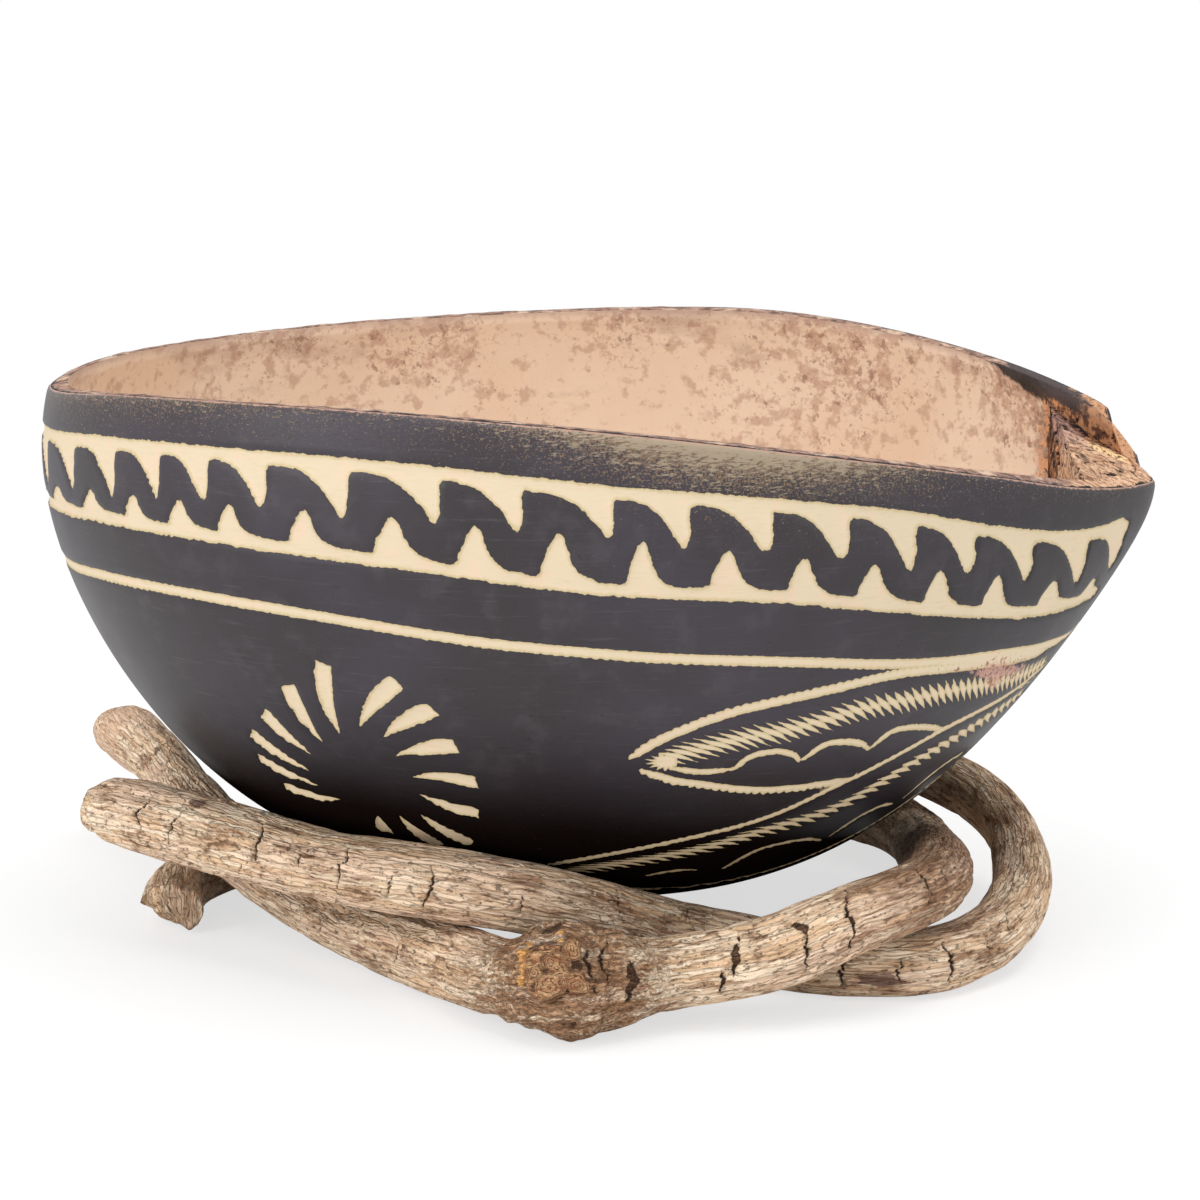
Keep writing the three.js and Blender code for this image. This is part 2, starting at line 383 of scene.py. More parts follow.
gourd = {
    "length": 200.6,
    "wall": 3.2,
    "waves": (76.3, 4.3, -4.7, 1.9, -1.8),
    "tilt": radians(2.57),
    "rayHalvings": 34,  # how finely the search for a point of the surface goes
    "rimHalvings": 26,
    "nearRim": [[0, 9.6], [0.03, 11.6], [0.08, 14.4], [0.17, 17.1], [0.3, 18.7], [0.45, 18.3], [0.6, 16.3],
                [0.73, 13], [0.83, 9], [0.91, 4.6], [0.96, 2.4], [1, 1.2]],
    "farRim": [[0, 9.6], [0.03, 10.8], [0.12, 11.7], [0.26, 13.6], [0.4, 15.8], [0.54, 18], [0.66, 19.3],
               [0.77, 18.5], [0.88, 16.3], [0.945, 14], [0.967, 12.6], [0.972, 5.2], [0.988, 4.8],
               [0.992, 2.2], [1, 1.2]],
}
nearRimAt = curveThrough(gourd["nearRim"])
farRimAt = curveThrough(gourd["farRim"])


def gourdRadius(x, inset=0.0):
    # the radius round the long axis, x along it from the middle
    half = gourd["length"] / 2 - inset
    angle = np.arccos(np.clip(-x / half, -1, 1))
    radius = sum(wave * np.sin((k + 1) * angle) for k, wave in enumerate(gourd["waves"]))
    return radius * half / (half + inset) - inset * np.sin(angle) ** 2


def rimHeight(x, y):
    part = np.clip(x / gourd["length"] + 0.5, 0, 1)
    near, far = nearRimAt(part), farRimAt(part)
    halfWidth = np.sqrt(np.maximum(gourdRadius(x) ** 2 - (near + far) ** 2 / 4, 0)) + gourd["wall"] / 4
    return near + (far - near) * np.clip((y + halfWidth) / (2 * halfWidth), 0, 1)


def onGourd(bearing, fall, inset=0.0):
    # where a ray from the middle of the gourd meets its surface; bearing 0 is the middle of the near side and
    # 90 the stem end, in degrees, and fall is the angle below the axis
    azimuth = np.radians(bearing - 90.0)
    low = np.zeros(np.broadcast(azimuth, fall).shape)
    high = np.full_like(low, gourd["length"])
    direction = np.stack(np.broadcast_arrays(
        np.cos(fall) * np.cos(azimuth), np.cos(fall) * np.sin(azimuth), -np.sin(fall)), -1)
    for _ in range(gourd["rayHalvings"]):
        middle = (low + high) / 2
        x, y, z = np.moveaxis(direction * middle[..., None], -1, 0)
        inside = (y * y + z * z < gourdRadius(x, inset) ** 2) & (np.abs(x) < gourd["length"] / 2 - inset)
        low, high = np.where(inside, middle, low), np.where(inside, high, middle)
    return direction * low[..., None]


def rimFall(bearing, inset=0.0):
    # the angle at which the surface meets the cut rim
    low, high = np.full_like(bearing, -0.7), np.full_like(bearing, 0.3)
    for _ in range(gourd["rimHalvings"]):
        middle = (low + high) / 2
        point = onGourd(bearing, middle, inset)
        above = point[..., 2] > rimHeight(point[..., 0], point[..., 1])
        low, high = np.where(above, middle, low), np.where(above, high, middle)
    return (low + high) / 2


def gourdNormal(points):
    x, y, z = np.moveaxis(points, -1, 0)
    step = 0.05
    slope = (gourdRadius(x + step) - gourdRadius(x - step)) / (2 * step)
    normal = np.stack([-gourdRadius(x) * slope, y, z], -1)
    return normal / np.maximum(np.linalg.norm(normal, axis=-1, keepdims=True), 1e-9)


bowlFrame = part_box("gourd_bowl")
alongGourd = np.linspace(-gourd["length"] / 2, gourd["length"] / 2, 801)
gourdReach = np.max(sin(gourd["tilt"]) * alongGourd + cos(gourd["tilt"]) * gourdRadius(alongGourd))
gourdMiddle = np.array([
    bowlFrame[0].x / mm + cos(gourd["tilt"]) * gourd["length"] / 2,
    0.0,
    bowlFrame[0].z / mm + gourdReach,
])


def placeGourd(points):
    # from the gourd's own axes to the part's
    x, y, z = np.moveaxis(np.asarray(points), -1, 0)
    c, s = cos(gourd["tilt"]), sin(gourd["tilt"])
    return np.stack([c * x + s * z, y, -s * x + c * z], -1) + gourdMiddle


shellMesh = {
    "columns": 640,
    "samples": 260,  # points at which a column's length is measured
    "fineStep": 0.75,  # rows down to the second carved line
    "fineRows": 60,
    "middleStep": 1.1,
    "middleRows": 44,
    "coarseStep": 2.1,
    "coarseRows": 22,
    "insideRows": 30,
    "rimRows": 6,
    "skinDip": 0.12,  # keeps the uneven skin inside the solid
    "rimRounding": 0.5,
    "cutDepth": 0.42,
}

columnBearings = -180 + 360 * np.arange(shellMesh["columns"]) / shellMesh["columns"]
outerTop = rimFall(columnBearings)
innerTop = rimFall(columnBearings, gourd["wall"])


def columnRows(bearings, topFall, rowPlaces, inset=0.0):
    # points down each column, at row places given as a function of the column's whole length
    falls = topFall[:, None] + (pi / 2 - topFall)[:, None] * np.linspace(0, 1, shellMesh["samples"])
    points = onGourd(bearings[:, None], falls, inset)
    lengths = np.array([lengthsAlong(column) for column in points])
    drops = np.array([rowPlaces(whole) for whole in lengths[:, -1]])
    wanted = np.array([np.interp(row, length, fall) for row, length, fall in zip(drops, lengths, falls)])
    return onGourd(bearings[:, None], wanted, inset), drops


def outsideRows(whole):
    fine = shellMesh["fineStep"] * np.arange(shellMesh["fineRows"] + 1)
    steps = np.repeat([shellMesh["middleStep"], shellMesh["coarseStep"]],
                      [shellMesh["middleRows"], shellMesh["coarseRows"]])
    rest = np.cumsum(steps) / np.sum(steps)
    return np.concatenate([fine, fine[-1] + (whole - fine[-1]) * rest])


def insideRows(whole):
    return whole * np.linspace(0, 1, shellMesh["insideRows"] + 1) ** 1.15


outside, outsideDrops = columnRows(columnBearings, outerTop, outsideRows)
inside, insideDrops = columnRows(columnBearings, innerTop, insideRows, gourd["wall"])
print("gourd surface worked out:", outside.shape, inside.shape)

# The carved pattern. Places on the skin are [bearing in degrees, drop below the rim in millimetres]

band = {
    "upperEdge": [[-90, 7], [-54, 7.9], [-21, 8.3], [0, 8.8], [18, 8.2], [36, 7.8], [54, 8.7], [72, 7.5],
                  [84, 4.7], [90, 4]],
    "lowerEdge": [[-90, 21], [-79, 21.9], [-52, 23.8], [-21, 25.9], [0, 27], [24, 25.3], [40, 25.3],
                  [58, 24.8], [72, 22.8], [90, 20]],
    "lineWidth": 2.2,
    "endBearing": 87,  # both lines run out beside the stem
    "toothPoint": 17.5,
    "toothBearings": [-90, -81, -71.5, -62.5, -54.6, -47.5, -39.9, -30, -19.4, -9.9, 0.8, 9.7, 19.6, 29.2,
                      38.5, 47.8, 58.6, 71.1, 80.2],
    # one hanging tooth's edge and one standing tooth's, as [part of the pitch, part of the height]
    "hanging": [[0, 0], [0.055, 0.13], [0.085, 0.4], [0.06, 0.72], [0.075, 0.98], [0.16, 1.0], [0.3, 0.99],
                [0.44, 0.94], [0.58, 0.83], [0.7, 0.64], [0.81, 0.42], [0.92, 0.16], [1, 0]],
    "standing": [[-0.2, 1.0], [-0.175, 0.78], [-0.12, 0.46], [-0.055, 0.18], [0, 0], [0.07, 0.07],
                 [0.115, 0.26], [0.16, 0.5], [0.24, 0.75], [0.36, 0.92], [0.55, 1.0]],
}
upperEdgeAt = curveThrough(band["upperEdge"])
lowerEdgeAt = curveThrough(band["lowerEdge"])


def nearTwin(bearing):
    # the far side carries the near side's layout mirrored
    wrapped = aroundZero(np.asarray(bearing, float), 360)
    return np.where(np.abs(wrapped) <= 90, wrapped, np.sign(wrapped) * 180 - wrapped)


def distanceToLine(points, line):
    # distance of each 2-D point to a polyline, in blocks to save memory
    starts, ends = line[:-1], line[1:]
    along = ends - starts
    lengthSquare = np.maximum(np.sum(along ** 2, axis=1), 1e-12)
    result = np.empty(len(points))
    for block in range(0, len(points), 4000):
        offset = points[block:block + 4000, None] - starts
        u = np.clip(np.sum(offset * along, axis=2) / lengthSquare, 0, 1)
        distanceSquare = np.sum((offset - u[..., None] * along) ** 2, axis=2)
        result[block:block + 4000] = np.sqrt(np.min(distanceSquare, axis=1))
    return result


def insideOutline(points, outline):
    x, y = points.T
    result = np.zeros(len(points), bool)
    for (x0, y0), (x1, y1) in zip(outline, np.roll(outline, -1, axis=0)):
        crosses = (y0 > y) != (y1 > y)
        if y0 != y1:
            result ^= crosses & (x < (x1 - x0) * (y - y0) / (y1 - y0) + x0)
    return result


def bandGap(bearings, drops, runAt):
    # signed distance to the band's bare wood, below zero inside it
    bearings = np.asarray(bearings)
    twin = nearTwin(bearings)
    upper, lower = upperEdgeAt(twin), lowerEdgeAt(twin)
    shrink = np.clip((band["endBearing"] - twin) / 8, 0, 1)
    random = np.random.default_rng(3)
    near = list(band["toothBearings"])
    far = [180 - b for b in near[::-1] if abs(b) < 90]
    tips = np.array([b + random.uniform(-0.9, 0.9) * (b > 90) for b in near + far])
    tips = np.sort((tips + 90) % 360 - 90)
    tips = np.append(tips, tips[0] + 360)
    blackTop, blackBottom = [], []
    for left, right in zip(tips, tips[1:]):
        start, pitch = runAt(left), runAt(right) - runAt(left)
        tipLeft, tipRight = band["toothPoint"] + random.uniform(-0.7, 0.7, 2)
        for part, height in band["hanging"][:-1]:
            bearing = left + part * (right - left)
            top = upperEdgeAt(nearTwin(bearing)) + band["lineWidth"] + random.uniform(-0.12, 0.12)
            point = tipLeft if part < 0.3 else tipRight
            blackTop.append([start + part * pitch, point + (top - point) * height])
        middle = 0.5 + random.uniform(-0.05, 0.05)
        stretch = random.uniform(0.9, 1.12)
        for part, height in band["standing"]:
            bearing = left + (middle + part * stretch) * (right - left)
            bottom = lowerEdgeAt(nearTwin(bearing)) - band["lineWidth"] + random.uniform(-0.12, 0.12)
            point = band["toothPoint"] - 0.3 + random.uniform(-0.1, 0.1)
            blackBottom.append([start + (middle + part * stretch) * pitch, point + (bottom - point) * height])
    blackTop, blackBottom = smoothLine(blackTop, 3), smoothLine(blackBottom, 3)
    run = runAt((bearings + 90) % 360 - 90)
    points = np.stack([run, drops], -1)
    ribbon = (drops > np.interp(run, blackTop[:, 0], blackTop[:, 1])) & (
        drops < np.interp(run, blackBottom[:, 0], blackBottom[:, 1]))
    toRibbon = np.minimum(distanceToLine(points, blackTop), distanceToLine(points, blackBottom))
    edge = np.maximum(upper - drops, drops - lower)  # below zero between the two lines
    wood = np.where(ribbon, toRibbon, -toRibbon)
    gap = np.maximum(edge, wood)
    return gap + (1 - shrink) * 6


farAway = [9.0, 0.0, -9.0]  # what a point holds where no stroke or blade is near
nowhere = [9.0, 9.0, 0.0]  # the same for what is placed by two distances

sunburst = {
    "places": [[-32, 66.8], [-148, 67.5]],
    # each blade from its inner to its outer end, as [radius, angle] in the skin's own plane
    "blades": [
        [8.6, 113, 22.8, 101], [10.2, 87, 22, 67], [9.6, 62, 20.4, 47], [7.5, 37, 18.4, 23],
        [8.2, -2, 19.2, -4],
        [9.8, -31, 20.3, -29], [13.1, -57, 24.2, -55], [12.7, -77, 22.5, -71], [13.3, -96, 19.4, -94],
        [12.7, -126, 21.6, -150], [13, -148, 22.1, -169], [12, -165, 22.1, -187], [10.2, -189, 20.2, -207],
        [9.1, -217, 20.3, -235],
    ],
    "widths": [3.3, 3.5, 3.4, 3.3, 3.0, 3.0, 3.0, 2.9, 2.6, 2.6, 2.6, 2.8, 3.0, 3.2],
    "profile": [[0, 0.04], [0.2, 0.4], [0.45, 0.76], [0.7, 0.97], [0.88, 1.0], [1, 0.86]],
    "bow": 0.06,  # how far a blade's middle is off its straight line, as a part of its length
}
# The small fan of points where the first leaf's feather begins
fan = {
    "places": [[10.6, 57.6], [169.4, 57.6]],
    "reach": 3.5,
    "blades": 14,  # round the whole circle, of which the left half is cut
    "squash": 1.6,
    "halfWidth": 1.25,
}


def tangentPlace(points, place, reach):
    # which points are near a place on the skin, and where they lie in its tangent plane
    centre = skinPoint([place])[0]
    normal = gourdNormal(centre[None])[0]
    isFar = abs(place[0]) > 90
    right = np.cross([0, 0, 1], normal) * (-1 if isFar else 1)
    right /= np.linalg.norm(right)
    up = np.cross(normal, right) * (-1 if isFar else 1)
    close = np.where(np.linalg.norm(points - centre, axis=1) < reach)[0]
    return close, (points[close] - centre) @ np.stack([right, up], -1)


def bladeFields(points):
    # for each point, the distance across the nearest blade, the way left to its outer end and its half width;
    # every second blade is in the second field, so that neighbours don't touch in one
    fields = np.tile(farAway, (2, len(points), 1))
    best = np.full((2, len(points)), 9.0)
    random = np.random.default_rng(8)
    profile = curveThrough(sunburst["profile"])
    for place in sunburst["places"]:
        close, flat = tangentPlace(points, place, 30)
        for k, (innerRadius, innerAngle, outerRadius, outerAngle) in enumerate(sunburst["blades"]):
            start, end = (r * np.array([cos(radians(a)), sin(radians(a))])
                          for r, a in ((innerRadius, innerAngle), (outerRadius, outerAngle)))
            length = np.linalg.norm(end - start)
            along = (end - start) / length
            run = (flat - start) @ along
            part = np.clip(run / length, -0.2, 1.2)
            bow = sunburst["bow"] * length * 4 * part * (1 - part) * np.sign(outerAngle - innerAngle)
            off = (flat - start) @ np.array([-along[1], along[0]]) + bow
            half = sunburst["widths"][k] / 2 * profile(part) + np.minimum(run, 0)
            left = length + random.uniform(-0.3, 0.3) + 0.3 * off * random.uniform(-1, 1) - run
            gap = np.maximum(np.abs(off) - half, -left)
            better = (gap < best[k % 2, close]) & (gap < 1.7)
            chosen = close[better]
            best[k % 2, chosen] = gap[better]
            fields[k % 2, chosen] = np.stack([off, left, half], -1)[better]
    return fields, best.min(axis=0)


def fanField(points):
    # where points lie from the middle of a fan, which the material cuts into blades
    field = np.tile(nowhere, (len(points), 1))
    for place in fan["places"]:
        close, flat = tangentPlace(points, place, 7)
        field[close] = np.column_stack([flat * [1, fan["squash"]], np.ones(len(close))])
    return field


# Curves that run to the stem end: [bearing, drop] points, half width in millimetres, and 1 or -1 for the side
# that counts as outside, where an edge is beaded
leaves = {
    "depth": 0.22,
    "leafEdges": [
        ([[5.4, 57.8], [9.7, 52.6], [17.1, 46.7], [23.6, 43.3], [32, 39.6], [40.1, 36.4], [49.8, 34.6],
          [59.7, 33.2], [72, 31.2]], 0.85, 1),
        ([[7.1, 60], [13.6, 62], [26.2, 62.7], [37.8, 60], [41, 58.9]], 0.75, -1),
        ([[-7.3, 91.9], [17, 78.4], [29.1, 70.6], [37.1, 62.6], [41, 58.9], [54.5, 47.3], [69.5, 39.6],
          [79, 35]],
         0.56, 1),
        ([[-6, 95.5], [12, 103], [30, 101], [46, 92], [60, 76], [72, 58], [80, 46]], 0.62, -1),
    ],
    "feathers": [
        ([[9.2, 57.4], [19, 51.9], [27.5, 48.2], [35.7, 43.8], [41.9, 41.7], [52.6, 38.9], [68.6, 36.1],
          [76, 34.6]], 2.7, 1, [-1.5, -0.7, 1.0]),
        ([[-4.6, 94.6], [18.4, 83.1], [30.8, 74.3], [41.8, 67], [52.5, 55], [64.5, 46.2], [76, 41]], 2.2, 1,
         [-2.1, -0.7, 1.3]),
    ],
    # how far from a stroke's middle it counts, in millimetres, and the part of its width that is cut down
    "reaches": {"leafEdges": (1.9, 1), "feathers": (3.8, 0.6), "scallops": (1.9, 1)},
    "scallops": [
        ([[11, 58.9], [15.6, 59.4], [20.1, 58.3]], 0.66, 1),
        ([[20.1, 58.6], [22.3, 55], [25.4, 53.6], [28.2, 54], [29.9, 55.6]], 0.66, 1),
        ([[29.9, 55.6], [32.5, 51.6], [35.8, 50.6], [38.6, 50.9], [40.5, 52.2]], 0.66, 1),
        ([[40.5, 52.2], [42.7, 48.4], [45.4, 47.1], [50, 46.9], [54.5, 47.6]], 0.66, 1),
        ([[13.8, 94.4], [19, 91.4], [24.7, 90.2]], 0.5, 1),
        ([[30.3, 89.7], [32.5, 82.5], [36, 79.3], [42, 77.3], [47.4, 77.9]], 0.5, 1),
        ([[48.4, 76.5], [50.5, 70.5], [54, 67.3], [58, 66.7]], 0.5, 1),
        ([[60.3, 65.6], [62, 59.5], [65, 56], [69, 54.5]], 0.5, 1),
    ],
}
secondLine = {
    "path": [[-90, 31], [-75.7, 31.9], [-44.6, 34], [-20.9, 36.5], [-9.7, 37.2], [6.5, 37], [25.4, 35.4],
             [39.8, 34.4], [51.2, 32.8], [61.8, 31], [75.6, 29.6], [90, 28]],
    "halfWidth": 0.9,
}
secondLineAt = curveThrough(secondLine["path"])

# A table of the skin by bearing and drop, which turns places on it into points
tableStep = 1.0
skinTable, _ = columnRows(columnBearings, outerTop, lambda whole: tableStep * np.arange(150))
skinTable = np.concatenate([skinTable, skinTable[:1]])


def skinPoint(places):
    bearing, drop = np.array(places, float).T
    column = ((bearing + 180) % 360) / 360 * shellMesh["columns"]
    row = np.clip(drop / tableStep, 0, skinTable.shape[1] - 1.001)
    i, j = column.astype(int), row.astype(int)
    u, v = (column - i)[:, None], (row - j)[:, None]
    top = skinTable[i, j] * (1 - u) + skinTable[i + 1, j] * u
    bottom = skinTable[i, j + 1] * (1 - u) + skinTable[i + 1, j + 1] * u
    return top * (1 - v) + bottom * v


def strokeField(points, strokes, reach):
    # for each point, the distance across the nearest stroke, the run along it and its half width there; a
    # stroke may give how far its cross lines slant at its start and at its end, and how far apart they are
    field = np.tile(farAway, (len(points), 1))
    best = np.full(len(points), 8.0)
    normals = gourdNormal(points)
    for places, halfWidth, outward, *slants in strokes:
        for mirrored in (False, True):
            line = skinPoint(smoothLine([[180 - b if mirrored else b, d] for b, d in places], 10))
            lengths = lengthsAlong(line)
            even = np.arange(0, lengths[-1], 0.4)
            line = resampled(line, lengths, even)
            tangent = np.gradient(line, axis=0)
            tangent /= np.linalg.norm(tangent, axis=1, keepdims=True)
            low, high = line.min(axis=0) - 9, line.max(axis=0) + 9
            close = np.where(np.all((points > low) & (points < high), axis=1))[0]
            offset = points[close, None] - line
            square = np.sum(offset ** 2, axis=2)
            nearest = np.argmin(square, axis=1)
            distance = np.sqrt(square[np.arange(len(close)), nearest])
            offset = offset[np.arange(len(close)), nearest]
            ahead = np.sum(offset * tangent[nearest], axis=1)
            side = np.cross(normals[close], tangent[nearest])
            across = np.sum(offset * side, axis=1) * outward * (1 if mirrored else -1)
            run = np.clip(even[nearest] + ahead, 0.01, None)
            past = ahead * ((nearest == 0) | (nearest == len(even) - 1))
            overrun = np.maximum(-past * (nearest == 0), past * (nearest > 0))
            tapered = halfWidth * np.clip(0.45 + 0.5 * np.minimum(run, even[-1] - run) / 3, 0.3, 1)
            half = np.where(overrun > 0, -overrun, tapered)
            half = np.where(distance > reach, -9.0, half)
            better = distance < best[close]
            chosen = close[better]
            best[chosen] = distance[better]
            if slants:
                slantStart, slantEnd, stretch = slants[0]
                run = run + across * (slantStart + (slantEnd - slantStart) * (run / even[-1]) ** 0.7)
                run = run / stretch + 0.25 * unevenness(points[close], 2.6, 31)
            field[chosen] = np.stack([across, run, half], -1)[better]
    return field


def secondLineField(bearings, drops, runs):
    twin = nearTwin(bearings)
    # it widens where the first leaf's edge joins it
    join = hill(twin, 60, 9)
    half = (secondLine["halfWidth"] + 0.65 * join) * np.clip((86 - twin) / 12, 0, 1) - 2 * (twin > 86)
    return np.stack([secondLineAt(twin) + 0.6 * join - drops, runs, half], -1)


# Colours and materials of the bowl

bowlColours = {
    "stain": srgb(58, 53, 60),
    "stainBrown": srgb(51, 46, 49),
    "stainPale": srgb(78, 72, 76),
    # painted shade for the underside of the bowl
    "paintedShadeLow": srgb(17, 11, 9),
    "pit": srgb(22, 18, 18),
    "wood": srgb(211, 194, 166),
    "woodStreakAndEdgeShade": srgb(188, 168, 120),
    # chisel streaks in the cut wood, and painted shade along the cuts' edges
    "woodPink": srgb(216, 192, 166),
    "worn": srgb(158, 144, 122),
    "wornBrown": srgb(138, 112, 84),
    "pinkPatch": srgb(196, 150, 132),
    "redSpeck": srgb(120, 66, 52),
    "rimWood": srgb(168, 132, 114),
    "rimDark": srgb(92, 70, 62),
    "topGrey": srgb(72, 62, 62),
    "bare": srgb(219, 192, 167),
    "barePale": srgb(226, 204, 182),
    "bareSpot": srgb(172, 134, 112),
    "bareStain": srgb(134, 98, 82),
    # the broken stem
    "stemPale": srgb(222, 182, 148),
    "stemTan": srgb(196, 148, 112),
    "stemShade": srgb(150, 108, 86),
    "stemOrange": srgb(206, 148, 106),
    "stemBright": srgb(242, 200, 150),
    "stemPurple": srgb(176, 140, 132),
    "stemHole": srgb(40, 28, 28),
    "stemBrown": srgb(104, 70, 54),
}


def bowlMix(mask, first, second):
    return mixColour(mask, bowlColours[first], bowlColours[second])


def makeSkinMaterial():
    material, tree = newMaterial("stained calabash skin", bowlColours["stain"])
    place = objectPlace(tree)
    drop, side, wearAmount = (surfaceValue(tree, label) for label in ("drop", "side", "wear"))
    ragged = noise(place, 1.1, 4.0, 0.6) - 0.5
    steps = noise(place, 0.5, 2.0) - 0.5

    # the cut pattern: how far a point is from the nearest cut edge
    gap = surfaceValue(tree, "cutGap") + steps * 0.7
    for other in (
            carvedLine(surfaceVector(tree, "secondLine"), 0.12, 1.7),
            carvedLine(surfaceVector(tree, "leafEdges"), 0.34, 1.5),
            carvedLine(surfaceVector(tree, "scallops"), 0.1, 1.1),
            featherStrip(surfaceVector(tree, "feathers"), 1.9, 0.2),
            taperedBlade(surfaceVector(tree, "blades"), steps),
            taperedBlade(surfaceVector(tree, "otherBlades"), steps),
            pointedFan(surfaceVector(tree, "fan"), fan["blades"], fan["reach"], fan["halfWidth"])):
        gap = calc("MINIMUM", gap, other)
    gap = gap + ragged * 0.7
    cut = remap(gap, 0.06, -0.06)

    # the stain, with painted shade that makes it darker and browner low down on the underside, and scrapes,
    # pits and wear under the rim
    blotch = noise(place, 0.035, 4.0)
    streak = noise(stretched(place, (0.12, 0.12, 2.2)), 0.9, 5.0, 0.65)
    cloud = noise(place, 0.16, 5.0, 0.6)
    pits = speckle(place, 0.9, 0.25)
    dashes = speckle(stretched(place, (0.5, 0.5, 1.6)), 1.4, 0.3)
    darkMarks = calc("MAXIMUM", pits * 0.55, dashes * 0.6)
    slanted = stretched(place, (0.55, 0.55, 2.4), (0.0, radians(-28), 0.0))
    wear = speckle(slanted, 1.3, wearAmount)
    grains = speckle(place, 2.6, wearAmount + 0.12)
    stain = paintOver(
        bowlColours, bowlMix(remap(blotch, 0.35, 0.65), "stainBrown", "stain"),
        (remap(streak, 0.55, 0.75, 0.0, 0.55), "stainPale"),
        (remap(cloud, 0.52, 0.7, 0.0, 0.3), "stainPale"),
        (remap(side, 10.0, 85.0, 0.0, 0.42), "pit"),
        # painted shade: the skin darkens to brown-black low down on the underside
        (remap(drop + blotch * 12.0, 52.0, 88.0), "paintedShadeLow"),
        (darkMarks, "pit"),
        (grains * 0.6, "wornBrown"),
        (wear * 0.75, "worn"),
        (remap(drop + ragged * 1.4, 0.4, 0.1), "rimWood"))

    # bare wood in the cuts, with painted shade along their edges and chisel streaks, and a rubbed pink patch at
    # the right end of the leaves
    chisel = noise(stretched(place, (0.4, 0.4, 3.0)), 0.8, 4.0)
    wood = paintOver(
        bowlColours, bowlMix(remap(noise(place, 0.28, 3.0), 0.5, 0.68), "wood", "woodPink"),
        # painted shade just inside the cuts' edges, where the skin stands above the wood
        (remap(gap, -0.7, -0.05, 0.0, 0.7), "woodStreakAndEdgeShade"),
        (remap(chisel, 0.5, 0.8, 0.0, 0.3), "woodStreakAndEdgeShade"))
    fromPatch = abs(side - 61.0) / 9.0 + abs(drop - 35.2) / 2.6 + (cloud - 0.5) * 3.0 + ragged * 3.2
    pink = bowlMix(remap(ragged, -0.02, -0.12), "pinkPatch", "redSpeck")
    base = mixColour(remap(fromPatch, 1.1, 0.7) * 0.8, mixColour(cut, stain, wood), pink)
    roughness = remap(blotch, 0.3, 0.7, 0.38, 0.47) + cut * 0.36 + wear * 0.2
    fine = noise(stretched(place, (0.5, 0.5, 2.2)), 1.6, 4.0, 0.65)
    height = fine * 0.05 - cut * 0.16 - darkMarks * 0.06 + chisel * (cut * 0.06) + wear * 0.04
    shine = remap(drop, 38.0, 78.0, 0.3, 0.0) * remap(side, 25.0, 85.0, 1.0, 0.6)
    return finishMaterial(material, base, height, 0.7, mm, roughness, shine)


def makeRimMaterial():
    material, tree = newMaterial("cut calabash rim", bowlColours["rimWood"])
    place = objectPlace(tree)
    x = axesOf(place)[0]
    tone = noise(place, 0.6, 5.0, 0.68)
    uneven = tone - 0.5
    pits = speckle(place, 1.6, 0.45)

    # from the skin's side the stain reaches onto the cut, and beside the stem the cut is fibrous
    lip = surfaceValue(tree, "acrossRim") + uneven
    fibres = woodGrain(place, 0.8, 2.0)[0]
    stem = bowlMix(remap(fibres, 0.38, 0.6), "stemShade", "stemPale")

    # the far wall's top beside the notch is stained dark and worn through in places
    top = bowlMix(remap(x + uneven * 16.0, 89.5, 92.5), "topGrey", "stemTan")
    wood = paintOver(
        bowlColours, bowlMix(remap(tone, 0.38, 0.6), "rimDark", "rimWood"),
        (remap(noise(place, 0.25, 4.0), 0.5, 0.66, 0.0, 0.7), "bare"),
        (pits * 0.65, "bareStain"),
        (remap(lip, 0.3, 0.12, 0.0, 0.85), "stainPale"),
        (remap(x + uneven * 9.0, 78.0, 86.0), stem),
        (remap(surfaceValue(tree, "paint") + uneven, -0.1, 0.3), top),
        (remap(lip, 0.16, 0.06), "pit"))
    return finishMaterial(material, wood, tone * 0.35 - pits * 0.3, 0.9, mm, 0.8)


